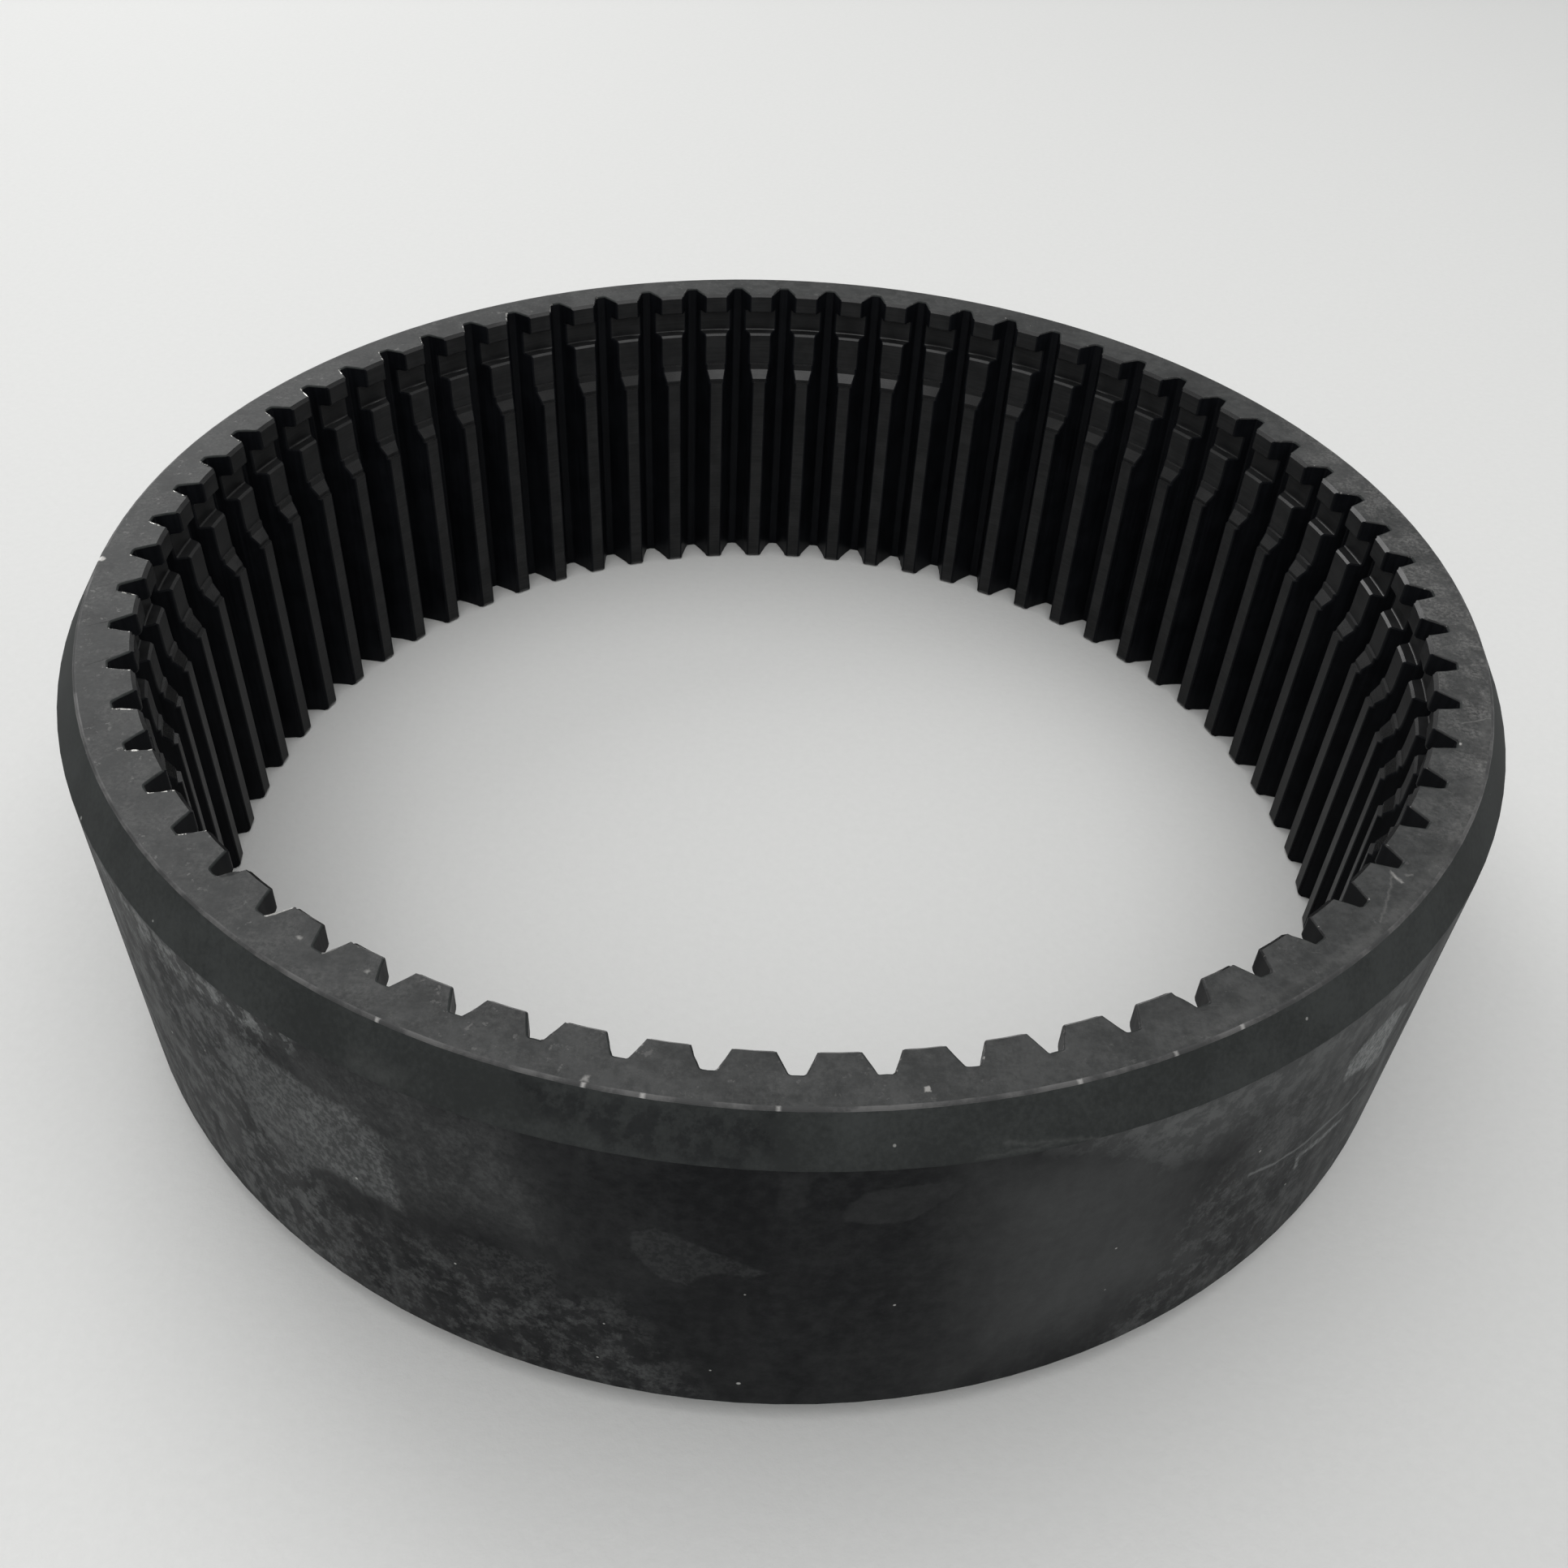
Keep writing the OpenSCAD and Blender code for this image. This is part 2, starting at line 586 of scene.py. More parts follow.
    def scratches(self, bench: NodeBench) -> Socket:
        """Return thin broken lines in three directions.

        Args:
            bench: The bench of the material's tree.

        Returns:
            The mask socket.
        """
        total: Socket | None = None
        for turn, shift in ((0.5, 3.0), (-0.9, 7.0), (1.9, 11.0)):
            node = bench.add("Mapping")
            bench.put(node.inputs["Vector"], bench.place())
            node.inputs["Rotation"].default_value = (0.0, 0.0, turn)
            node.inputs["Scale"].default_value = (0.05, 1.0, 1.0)
            node.inputs["Location"].default_value = (shift, shift, 0.0)
            line = bench.noise(2.2 * MM, 1.0, 0.5, node.outputs["Vector"])
            away = bench.math("ABSOLUTE", bench.math("SUBTRACT", line, 0.5))
            thin = bench.spread(away, 0.0, 0.012, 1.0, 0.0)
            parts = bench.noise(12 * MM, 3.0, 0.6, bench.shifted(shift, 0, 0))
            part = bench.both(thin, bench.spread(parts, 0.56, 0.66))
            total = part if total is None else bench.most(total, part)
        return total


@dataclass(frozen=True)
class SmoothChamfer(Finish):
    """Turned chamfer: even, dark and a little blue, with a fine grain and sparse specks."""

    name: str = "smooth_chamfer"
    specular: float = 0.04
    dark: Colour = (0.0264, 0.0286, 0.0281)
    grey: Colour = (0.0430, 0.0463, 0.0455)
    # Colour of the darker patches at set places, most over the front of the chamfer.
    dark_patch: Colour = (0.010, 0.0105, 0.0115)
    speck: Colour = (0.30, 0.30, 0.29)
    radius: float = 147.6 * MM
    height: float = 84 * MM
    clouds: tuple[Mark, ...] = (
        Patch(
            ((-104.0, 0.6), (-88.5, 0.4), (-88.0, 5.5), (-92.0, 7.0), (-103.0, 5.0)),
            strength=0.6, soft=2 * MM, blotch=0.6,
        ),
        Patch(
            ((-99.0, 4.0), (-90.0, 3.0), (-90.0, 8.0), (-98.0, 8.0)),
            strength=0.6, soft=1.4 * MM, blotch=0.5,
        ),
        Patch(
            ((35.0, 2.0), (49.0, 1.0), (50.0, 6.0), (38.0, 7.0)),
            strength=0.5, soft=1.6 * MM, blotch=0.7,
        ),
    )
    smears: tuple[Mark, ...] = (
        Streak((-75.5, 6.0), (-69.5, 7.7), 0.35 * MM, strength=0.11, soft=0.35 * MM, grain=0.6),
        Streak((-77.0, 7.5), (-70.5, 7.1), 0.3 * MM, strength=0.08, soft=0.35 * MM, grain=0.6),
        Patch(
            ((-114.5, 5.0), (-110.4, 5.0), (-110.4, 8.2), (-114.5, 8.2)),
            strength=0.05, soft=1.2 * MM, blotch=0.5,
        ),
    )

    def dress(self, bench: NodeBench, shader: bpy.types.Node) -> None:
        """Wire soft clouds, darker patches at set places, a fine grain, smears and specks.

        Args:
            bench: The bench of the material's tree.
            shader: The surface shader to feed.
        """
        cloud = bench.noise(18 * MM, 5.0, 0.6)
        grain = bench.noise(0.9 * MM, 3.0, 0.6)
        tone = bench.total(bench.both(cloud, 0.65), bench.both(grain, 0.35))
        colour = bench.blend(bench.spread(tone, 0.36, 0.66), self.dark, self.grey)
        place = bench.warped(bench.unrolled(self.radius, False, self.height), 4 * MM, 2.5 * MM)
        coarse = bench.spread(bench.noise(3 * MM, 5.0, 0.7, bench.shifted(1, 5, 9)), 0.42, 0.6)
        # Darker patches at set places, most over the front of the chamfer.
        dark_patch = all_marks(bench, place, self.radius, grain, coarse, self.clouds)
        colour = bench.blend(dark_patch, colour, self.dark_patch)
        dots = bench.most(bench.specks(5 * MM, 0.07, 0.22), bench.specks(11 * MM, 0.045, 0.3))
        dots = bench.both(dots, 0.7)
        pale = bench.most(dots, all_marks(bench, place, self.radius, grain, coarse, self.smears))
        colour = bench.blend(pale, colour, self.speck)
        bench.put(shader.inputs["Base Color"], colour)
        bench.put(shader.inputs["Roughness"], bench.spread(tone, 0.3, 0.7, 0.58, 0.70))
        bench.put(shader.inputs["Normal"], bench.bump(grain, 0.02 * MM, 0.4))


@dataclass(frozen=True)
class StainedAndSheenWall(Finish):
    """Outer wall: near black, mottled, with pale stains, upright smears and specks, and broad soft pale
    patches towards the sides that are partly stains and partly painted sheen.
    """

    name: str = "stained_and_sheen_wall"
    specular: float = 0.05
    radius: float = 147.6 * MM
    height: float = 84 * MM
    black: Colour = (0.0060, 0.0065, 0.0073)
    grey: Colour = (0.0165, 0.0174, 0.0182)
    # Colour of the stains, and of the painted sheen in the broad soft patches.
    pale: Colour = (0.216, 0.223, 0.221)
    speck: Colour = (0.45, 0.45, 0.43)
    left_marks: tuple[Mark, ...] = (
        Patch(
            ((-127.0, 19.6), (-121.0, 18.4), (-114.2, 19.8), (-112.7, 23.0), (-112.4, 43.5),
             (-116.0, 42.5), (-124.6, 41.8), (-126.4, 30.0)),
            strength=0.5, soft=2.2 * MM, grain=0.5, blotch=0.3,
        ),
        Patch(
            ((-125.9, 41.0), (-117.6, 41.0), (-121.6, 47.6), (-123.2, 48.4)),
            strength=0.42, soft=1.4 * MM, grain=0.5, blotch=0.3,
        ),
        Patch(
            ((-108.4, 42.5), (-102.0, 42.0), (-101.4, 55.0), (-104.0, 58.5), (-106.4, 55.0)),
            strength=0.088, soft=1.5 * MM, grain=0.9,
        ),
        Patch(
            ((-115.0, 8.0), (-109.6, 8.0), (-109.6, 13.0), (-112.5, 15.5), (-114.8, 13.0)),
            strength=0.15, soft=1.5 * MM, grain=0.4,
        ),
        Patch(
            ((-142.0, 8.0), (-118.0, 8.0), (-119.5, 13.0), (-127.0, 15.5), (-142.0, 18.0)),
            strength=0.8, soft=2.5 * MM, grain=0.3, blotch=0.8,
        ),
        Patch(
            ((-139.0, 37.0), (-134.0, 37.4), (-133.6, 41.0), (-138.0, 42.0)),
            strength=0.306, soft=1.0 * MM, grain=0.4,
        ),
        Patch(
            ((-142.5, 44.5), (-134.4, 43.2), (-134.0, 46.0), (-141.5, 50.5)),
            strength=0.272, soft=1.0 * MM, grain=0.4,
        ),
        Patch(
            ((-136.0, 24.0), (-132.0, 23.0), (-131.6, 29.0), (-135.5, 31.0)),
            strength=0.15, soft=1.4 * MM, grain=0.5,
        ),
        # Broad soft patches: partly mottled stains, partly painted sheen that makes the wall paler towards
        # its left side.
        Patch(
            ((-140.0, 46.0), (-98.0, 50.0), (-92.0, 80.0), (-140.0, 80.0)),
            strength=0.22, soft=7 * MM, grain=0.5, blotch=0.95,
        ),
        Patch(
            ((-122.0, 8.0), (-104.0, 8.0), (-102.0, 34.0), (-118.0, 42.0)),
            strength=0.2, soft=7 * MM, grain=0.3, blotch=0.4,
        ),
        Patch(
            ((-148.0, 6.0), (-121.0, 8.0), (-118.0, 80.0), (-148.0, 80.0)),
            strength=0.4, soft=6 * MM, grain=0.25, blotch=0.85,
        ),
        Patch(
            ((-134.0, 18.0), (-124.0, 22.0), (-125.0, 36.0), (-133.0, 40.0)),
            strength=0.25, soft=4 * MM, blotch=0.7,
        ),
        Streak((-110.2, 8.5), (-110.2, 33.0), 1.2 * MM, strength=0.109, soft=0.9 * MM, grain=0.3),
        Streak((-110.2, 22.5), (-110.1, 32.8), 1.4 * MM, strength=0.231, soft=0.8 * MM, grain=0.35),
        Streak((-113.8, 8.5), (-113.9, 58.0), 1.8 * MM, strength=0.061, soft=1.2 * MM, grain=0.3),
        Streak((-114.4, 58.5), (-114.2, 75.5), 1.3 * MM, strength=0.231, soft=0.9 * MM, grain=0.35),
        Streak((-127.4, 55.0), (-127.2, 75.5), 1.5 * MM, strength=0.231, soft=1.0 * MM, grain=0.35),
        Streak((-117.5, 69.0), (-117.2, 75.5), 1.3 * MM, strength=0.136, soft=0.9 * MM, grain=0.3),
    )
    middle_marks: tuple[Mark, ...] = (
        Patch(
            ((-96.7, 28.0), (-95.3, 26.4), (-88.6, 35.0), (-89.4, 36.4), (-92.0, 37.0), (-96.7, 34.0)),
            strength=0.075, soft=0.4 * MM, grain=0.6,
        ),
        Patch(
            ((-96.6, 33.0), (-91.4, 36.0), (-93.2, 40.2), (-95.0, 39.4)),
            strength=0.075, soft=0.4 * MM, grain=0.6,
        ),
        Patch(
            ((-84.3, 20.8), (-84.0, 16.6), (-82.6, 13.6), (-77.8, 11.6), (-76.6, 13.0), (-78.2, 16.8),
             (-79.5, 21.3), (-81.2, 22.1)),
            strength=0.051, soft=0.4 * MM, grain=0.1,
        ),
        Patch(
            ((-88.3, 8.5), (-86.0, 8.5), (-86.4, 17.0), (-87.2, 18.2), (-88.2, 17.0)),
            strength=0.027, soft=0.7 * MM,
        ),
    )
    right_marks: tuple[Mark, ...] = (
        Patch(
            ((-46.7, 20.2), (-42.4, 19.5), (-39.9, 23.2), (-40.8, 29.0), (-44.4, 32.5), (-47.1, 28.8),
             (-47.8, 23.4)),
            strength=1.0, soft=0.9 * MM, grain=0.45, blotch=0.2,
        ),
        Patch(
            ((-44.8, 28.0), (-40.6, 27.0), (-41.2, 36.2), (-43.2, 35.8)),
            strength=0.9, soft=0.5 * MM, grain=0.5,
        ),
        # Broad soft patches: partly stains, partly painted sheen, a pale band that runs down the right of
        # the wall from the chamfer.
        Patch(((-76.0, 12.0), (-64.0, 10.0), (-58.0, 60.0), (-74.0, 70.0)), strength=0.17, soft=15 * MM),
        Patch(
            ((-74.0, 2.0), (-38.0, 2.0), (-40.0, 20.0), (-64.0, 22.0)),
            strength=0.42, soft=11 * MM, blotch=0.4,
        ),
        Patch(
            ((-58.0, 9.0), (-36.0, 8.0), (-36.0, 36.0), (-56.0, 44.0)),
            strength=0.3, soft=6 * MM, grain=0.3, blotch=0.5,
        ),
        Patch(
            ((-60.0, 34.0), (-38.0, 34.0), (-36.0, 78.0), (-64.0, 80.0)),
            strength=0.26, soft=8 * MM, grain=0.4, blotch=0.8,
        ),
        Patch(
            ((-44.0, 10.0), (-30.0, 10.0), (-30.0, 80.0), (-44.0, 80.0)),
            strength=0.34, soft=8 * MM, grain=0.3, blotch=0.6,
        ),
        Patch(
            ((-50.8, 8.2), (-47.8, 8.2), (-48.2, 12.5), (-50.2, 12.2)),
            strength=0.238, soft=0.6 * MM, grain=0.2,
        ),
        Streak((-72.6, 8.4), (-72.2, 11.4), 0.9 * MM, strength=0.122, soft=0.5 * MM),
        Streak((-64.9, 34.1), (-61.2, 35.4), 0.6 * MM, strength=0.095, soft=0.4 * MM),
        Streak((-55.3, 40.0), (-50.0, 42.4), 0.9 * MM, strength=0.55, soft=0.4 * MM),
        Streak((-50.5, 42.3), (-41.0, 43.4), 1.0 * MM, strength=0.5, soft=0.4 * MM),
        Streak((-49.0, 46.2), (-43.2, 48.3), 1.8 * MM, strength=0.75, soft=0.6 * MM, grain=0.5),
        Streak((-48.9, 46.2), (-48.6, 51.6), 1.2 * MM, strength=0.75, soft=0.5 * MM, grain=0.5),
        Streak((-58.0, 71.5), (-45.0, 75.5), 0.8 * MM, strength=0.109, soft=0.5 * MM),
    )
    far_marks: tuple[Mark, ...] = (
        Patch(
            ((58.0, 24.0), (70.0, 20.0), (75.0, 36.0), (66.0, 47.0), (59.0, 40.0)),
            strength=0.12, soft=7 * MM, grain=0.5, blotch=0.9,
        ),
        Patch(
            ((118.0, 44.0), (129.0, 40.0), (131.0, 54.0), (121.0, 60.0)),
            strength=0.1, soft=6 * MM, grain=0.5, blotch=0.9,
        ),
        Patch(
            ((14.0, 15.0), (24.0, 18.0), (22.0, 33.0), (13.0, 29.0)),
            strength=0.1, soft=5 * MM, grain=0.5, blotch=0.8,
        ),
        Streak((96.0, 12.0), (96.2, 40.0), 1.1 * MM, strength=0.109, soft=0.7 * MM),
        Streak((162.0, 30.0), (161.8, 70.0), 1.2 * MM, strength=0.095, soft=0.8 * MM),
    )

    def dress(self, bench: NodeBench, shader: bpy.types.Node) -> None:
        """Wire the mottled ground, the stains, the painted sheen of the broad pale patches, the smears and
        the specks.

        Args:
            bench: The bench of the material's tree.
            shader: The surface shader to feed.
        """
        cloud = bench.noise(34 * MM, 6.0, 0.62, bench.stretched((1.0, 1.0, 0.5)))
        mottle = bench.noise(2.6 * MM, 5.0, 0.7)
        cells = bench.noise(0.9 * MM, 3.0, 0.6, bench.stretched((1.0, 1.0, 0.8), (9, 1, 4)))
        fine = bench.spread(cells, 0.40, 0.60)
        lumps = bench.noise(4 * MM, 5.0, 0.74, bench.stretched((1.0, 1.0, 0.9), (3, 7, 5)))
        coarse = bench.spread(lumps, 0.42, 0.62)
        streak = bench.noise(9 * MM, 4.0, 0.6, bench.stretched((1.0, 1.0, 0.4), (2, 5, 1)))
        tone = bench.total(bench.both(cloud, 0.5), bench.both(mottle, 0.5))
        colour = bench.blend(bench.spread(tone, 0.38, 0.64), self.black, self.grey)
        place = bench.unrolled(self.radius, False, self.height)
        ragged = bench.warped(bench.warped(place, 11 * MM, 5 * MM), 1.6 * MM, 0.8 * MM)
        marks = self.left_marks + self.middle_marks + self.right_marks + self.far_marks
        # Pale marks: stains and smears, with painted sheen in the broad soft patches towards the sides.
        pale = all_marks(bench, ragged, self.radius, fine, coarse, marks)
        haze = bench.both(bench.spread(cloud, 0.52, 0.74), bench.spread(coarse, 0.2, 1.0, 0.01, 0.05))
        pale = bench.most(pale, haze)
        colour = bench.blend(pale, colour, self.pale)
        dots = bench.most(bench.specks(6 * MM, 0.055, 0.3), bench.specks(15 * MM, 0.035, 0.35))
        colour = bench.blend(bench.both(dots, 0.8), colour, self.speck)
        bench.put(shader.inputs["Base Color"], colour)
        rough = bench.total(bench.spread(streak, 0.32, 0.68, 0.45, 0.60), bench.both(pale, 0.2))
        bench.put(shader.inputs["Roughness"], rough)
        relief = bench.total(bench.both(mottle, 0.5), bench.both(fine, 0.2))
        bench.put(shader.inputs["Normal"], bench.bump(relief, 0.05 * MM, 0.35))


@dataclass(frozen=True)
class TurnedLand(Finish):
    """Turned tooth tips, groove and shoulder: dark satin with a fine grain along the rim."""

    name: str = "turned_land"
    specular: float = 0.1
    dark: Colour = (0.0128, 0.0131, 0.0136)
    grey: Colour = (0.0235, 0.0238, 0.0243)

    def dress(self, bench: NodeBench, shader: bpy.types.Node) -> None:
        """Wire turning lines and soft clouds.

        Args:
            bench: The bench of the material's tree.
            shader: The surface shader to feed.
        """
        lines = bench.noise(0.5 * MM, 3.0, 0.6, bench.stretched((0.04, 0.04, 1.0)))
        cloud = bench.noise(6 * MM, 4.0, 0.6)
        tone = bench.total(bench.both(lines, 0.45), bench.both(cloud, 0.55))
        colour = bench.blend(bench.spread(tone, 0.36, 0.66), self.dark, self.grey)
        bench.put(shader.inputs["Base Color"], colour)
        bench.put(shader.inputs["Roughness"], bench.spread(tone, 0.3, 0.7, 0.36, 0.5))
        bench.put(shader.inputs["Normal"], bench.bump(lines, 0.02 * MM, 0.5))


@dataclass(frozen=True)
class CutGap(Finish):
    """Cut tooth flanks and roots: almost black, with faint upright cutting marks."""

    name: str = "cut_gap"
    specular: float = 0.06
    dark: Colour = (0.0036, 0.0040, 0.0050)
    grey: Colour = (0.0072, 0.0079, 0.0096)

    def dress(self, bench: NodeBench, shader: bpy.types.Node) -> None:
        """Wire the upright marks and soft clouds.

        Args:
            bench: The bench of the material's tree.
            shader: The surface shader to feed.
        """
        marks = bench.noise(0.7 * MM, 3.0, 0.6, bench.stretched((1.0, 1.0, 0.03)))
        cloud = bench.noise(8 * MM, 4.0, 0.6)
        tone = bench.total(bench.both(marks, 0.5), bench.both(cloud, 0.5))
        colour = bench.blend(bench.spread(tone, 0.36, 0.66), self.dark, self.grey)
        bench.put(shader.inputs["Base Color"], colour)
        bench.put(shader.inputs["Roughness"], bench.spread(tone, 0.3, 0.7, 0.36, 0.5))
        bench.put(shader.inputs["Normal"], bench.bump(marks, 0.02 * MM, 0.4))


@dataclass(frozen=True)
class WornEdgeAndHighlight(Finish):
    """Outlines of the tooth gaps: the black rubbed off in stretches, most towards -X, partly real wear and
    partly a painted highlight of the grazing light on the broken edges.
    """

    name: str = "worn_edge_and_highlight"
    specular: float = 0.25
    dark: Colour = (0.036, 0.0365, 0.0365)
    # Colour of bare steel, in the stretches also a painted highlight on the broken edges.
    bare: Colour = (0.62, 0.61, 0.58)

    def dress(self, bench: NodeBench, shader: bpy.types.Node) -> None:
        """Wire the bare stretches, partly real wear and partly painted highlight, and the small bright
        nicks.

        Args:
            bench: The bench of the material's tree.
            shader: The surface shader to feed.
        """
        split = bench.add("SeparateXYZ")
        bench.put(split.inputs[0], bench.place())
        # The bare stretches grow towards -X: partly real wear, partly a painted highlight where the edges
        # that face away catch grazing light.
        side = bench.spread(split.outputs["X"], -55 * MM, -95 * MM, 0.0, 1.0)
        wear = bench.spread(bench.noise(2.2 * MM, 4.0, 0.7), 0.49, 0.57)
        nick = bench.spread(bench.noise(1.2 * MM, 3.0, 0.6, bench.shifted(3, 3, 3)), 0.62, 0.67)
        shown = bench.most(bench.both(wear, side), bench.both(nick, 0.3))
        bench.put(shader.inputs["Base Color"], bench.blend(shown, self.dark, self.bare))
        bench.put(shader.inputs["Metallic"], bench.both(shown, 0.5))
        bench.put(shader.inputs["Roughness"], bench.spread(wear, 0.0, 1.0, 0.42, 0.26))
        bench.put(shader.inputs["Normal"], bench.bump(wear, 0.05 * MM, 0.4))


@dataclass(frozen=True)
class TurnedLip(Finish):
    """Edge breaks, groove lips and treads: paler and smoother than the turned lands."""

    name: str = "turned_lip"
    specular: float = 0.42
    dark: Colour = (0.0085, 0.0087, 0.0089)
    pale: Colour = (0.0165, 0.0166, 0.0165)

    def dress(self, bench: NodeBench, shader: bpy.types.Node) -> None:
        """Wire turning lines and worn clouds.

        Args:
            bench: The bench of the material's tree.
            shader: The surface shader to feed.
        """
        lines = bench.noise(0.5 * MM, 3.0, 0.6, bench.stretched((0.04, 0.04, 1.0)))
        wear = bench.noise(5 * MM, 5.0, 0.66)
        tone = bench.total(bench.both(lines, 0.3), bench.both(wear, 0.7))
        colour = bench.blend(bench.spread(tone, 0.4, 0.62), self.dark, self.pale)
        bench.put(shader.inputs["Base Color"], colour)
        bench.put(shader.inputs["Roughness"], bench.spread(tone, 0.3, 0.7, 0.32, 0.22))
        bench.put(shader.inputs["Normal"], bench.bump(lines, 0.02 * MM, 0.4))


def rim_nick(angle: float, strength: float, level: float = 142.7, reach: float = 0.12) -> Streak:
    """Return a short bare nick across the upper rim.

    Args:
        angle: Direction about the axis in degrees.
        strength: Share of the bare colour in it.
        level: Distance from the axis in millimetres.
        reach: Half of its length in degrees.

    Returns:
        The nick.
    """
    ends = ((angle - reach, level), (angle + reach, level))
    return Streak(*ends, 0.9 * MM, strength=strength, soft=0.3 * MM)


@dataclass(frozen=True)
class SoftRimAndHighlight(Finish):
    """Rounded outer edges: the black rubbed thin, partly real wear and partly a painted highlight line,
    with a few bare nicks.
    """

    name: str = "soft_rim_and_highlight"
    specular: float = 0.15
    radius: float = 142.7 * MM
    dark: Colour = (0.048, 0.0485, 0.0485)
    thin: Colour = (0.100, 0.099, 0.098)
    bare: Colour = (0.62, 0.61, 0.59)
    marks: tuple[Mark, ...] = (
        Streak((-173.8, 142.7), (-173.2, 142.7), 1.4 * MM, strength=1.0, soft=0.25 * MM),
        *(rim_nick(angle, strength) for angle, strength in (
            (-113.1, 0.45), (-99.7, 0.52), (-96.2, 0.45), (-88.4, 0.38),
            (-70.5, 0.41), (-64.0, 0.34), (-59.0, 0.38),
        )),
    )

    def dress(self, bench: NodeBench, shader: bpy.types.Node) -> None:
        """Wire the paler thin stretches, partly painted highlight, and the bare nicks.

        Args:
            bench: The bench of the material's tree.
            shader: The surface shader to feed.
        """
        wear = bench.noise(8 * MM, 5.0, 0.66)
        grain = bench.noise(0.9 * MM, 3.0, 0.6)
        # The paler rim is partly real wear and partly a painted highlight line along the rounded edges.
        colour = bench.blend(bench.spread(wear, 0.42, 0.62), self.dark, self.thin)
        place = bench.warped(bench.unrolled(self.radius, True, 0.0), 1.5 * MM, 0.6 * MM)
        nicks = all_marks(bench, place, self.radius, grain, wear, self.marks)
        bench.put(shader.inputs["Base Color"], bench.blend(nicks, colour, self.bare))
        bench.put(shader.inputs["Roughness"], bench.spread(wear, 0.3, 0.7, 0.46, 0.34))
        bench.put(shader.inputs["Normal"], bench.bump(grain, 0.03 * MM, 0.4))


@dataclass
class ToothForm:
    """Involute form of the tooth gaps.

    Attributes:
        teeth: Number of teeth.
        module: Pitch diameter over the number of teeth.
        pressure: Pressure angle in radians.
        addendum: Height of the tips inside the pitch circle, in modules.
        dedendum: Depth of the roots outside it, in modules.
        fillet: Radius between flank and root.
        flank_parts: Straight pieces in a flank.
        fillet_parts: Straight pieces in a root fillet.
    """

    teeth: int = 66
    module: float = 4 * MM
    pressure: float = math.radians(22.5)
    addendum: float = 0.75
    dedendum: float = 1.15
    fillet: float = 0.5 * MM
    flank_parts: int = 8
    fillet_parts: int = 3

    @property
    def pitch_r(self) -> float:
        """Radius of the pitch circle."""
        return self.teeth * self.module / 2

    @property
    def tip_r(self) -> float:
        """Radius of the full tips."""
        return self.pitch_r - self.addendum * self.module

    @property
    def root_r(self) -> float:
        """Radius of the roots."""
        return self.pitch_r + self.dedendum * self.module

    def pressure_at(self, radius: float) -> float:
        """Return the pressure angle at a radius, in radians."""
        return math.acos(min(1.0, self.pitch_r * math.cos(self.pressure) / radius))

    def half_gap(self, radius: float) -> float:
        """Return half of the angle that a gap spans at a radius.

        Args:
            radius: Distance from the axis.

        Returns:
            The half angle in radians.
        """
        here = self.pressure_at(radius)
        on_pitch = math.tan(self.pressure) - self.pressure
        return math.pi / (2 * self.teeth) + on_pitch - (math.tan(here) - here)

    def flank(self, radius: float) -> Vector:
        """Return the point of the upper flank of the gap on +X, at a radius."""
        angle = self.half_gap(radius)
        return Vector((radius * math.cos(angle), radius * math.sin(angle), 0.0))

    def gap_outline(self, overrun: float) -> list[Vector]:
        """Return the outline of the gap on +X, from inside the tips round the root and back.

        Args:
            overrun: How far the outline starts inside the tips.

        Returns:
            Points in order, at height zero.
        """
        corner = self.flank(self.root_r)
        lean = self.pressure_at(self.root_r) - self.half_gap(self.root_r)
        reach = self.fillet / math.tan((math.pi / 2 + lean) / 2)
        start = self.tip_r - overrun
        end = self.root_r - reach * math.cos(lean)
        side = [self.flank(start + (end - start) * i / self.flank_parts) for i in range(self.flank_parts)]
        centre = corner - Vector((self.fillet, reach, 0.0))
        for i in range(self.fillet_parts + 1):
            angle = (math.pi / 2 - lean) * (1 - i / self.fillet_parts)
            side.append(centre + self.fillet * Vector((math.cos(angle), math.sin(angle), 0.0)))
        return side + [Vector((p.x, -p.y, 0.0)) for p in reversed(side)]


def arc(centre: tuple[float, float], radius: float, start: float, end: float, parts: int) -> list[Vector]:
    """Return points of an arc in the section plane.

    Args:
        centre: Distance from the axis and height of the centre.
        radius: Radius of the arc.
        start: First angle in degrees, from the outward direction.
        end: Last angle in degrees.
        parts: Number of straight pieces.

    Returns:
        Points in order.
    """
    points = []
    for i in range(parts + 1):
        angle = math.radians(start + (end - start) * i / parts)
        across = centre[0] + radius * math.cos(angle)
        up = centre[1] + radius * math.sin(angle)
        points.append(Vector((across, 0.0, up)))
    return points


def rounded(before: Vector, corner: Vector, after: Vector, radius: float, parts: int) -> list[Vector]:
    """Return a rounded corner of a section.

    Args:
        before: A point on the way into the corner.
        corner: The sharp corner.
        after: A point on the way out of it.
        radius: Radius of the round.
        parts: Number of straight pieces.

    Returns:
        Points along the round, in order.
    """
    way_in = (before - corner).normalized()
    way_out = (after - corner).normalized()
    half = way_in.angle(way_out) / 2
    reach = radius / math.tan(half)
    centre = corner + (way_in + way_out).normalized() * (radius / math.sin(half))
    first = corner + way_in * reach - centre
    last = corner + way_out * reach - centre
    return [centre + radius * first.slerp(last, i / parts) for i in range(parts + 1)]


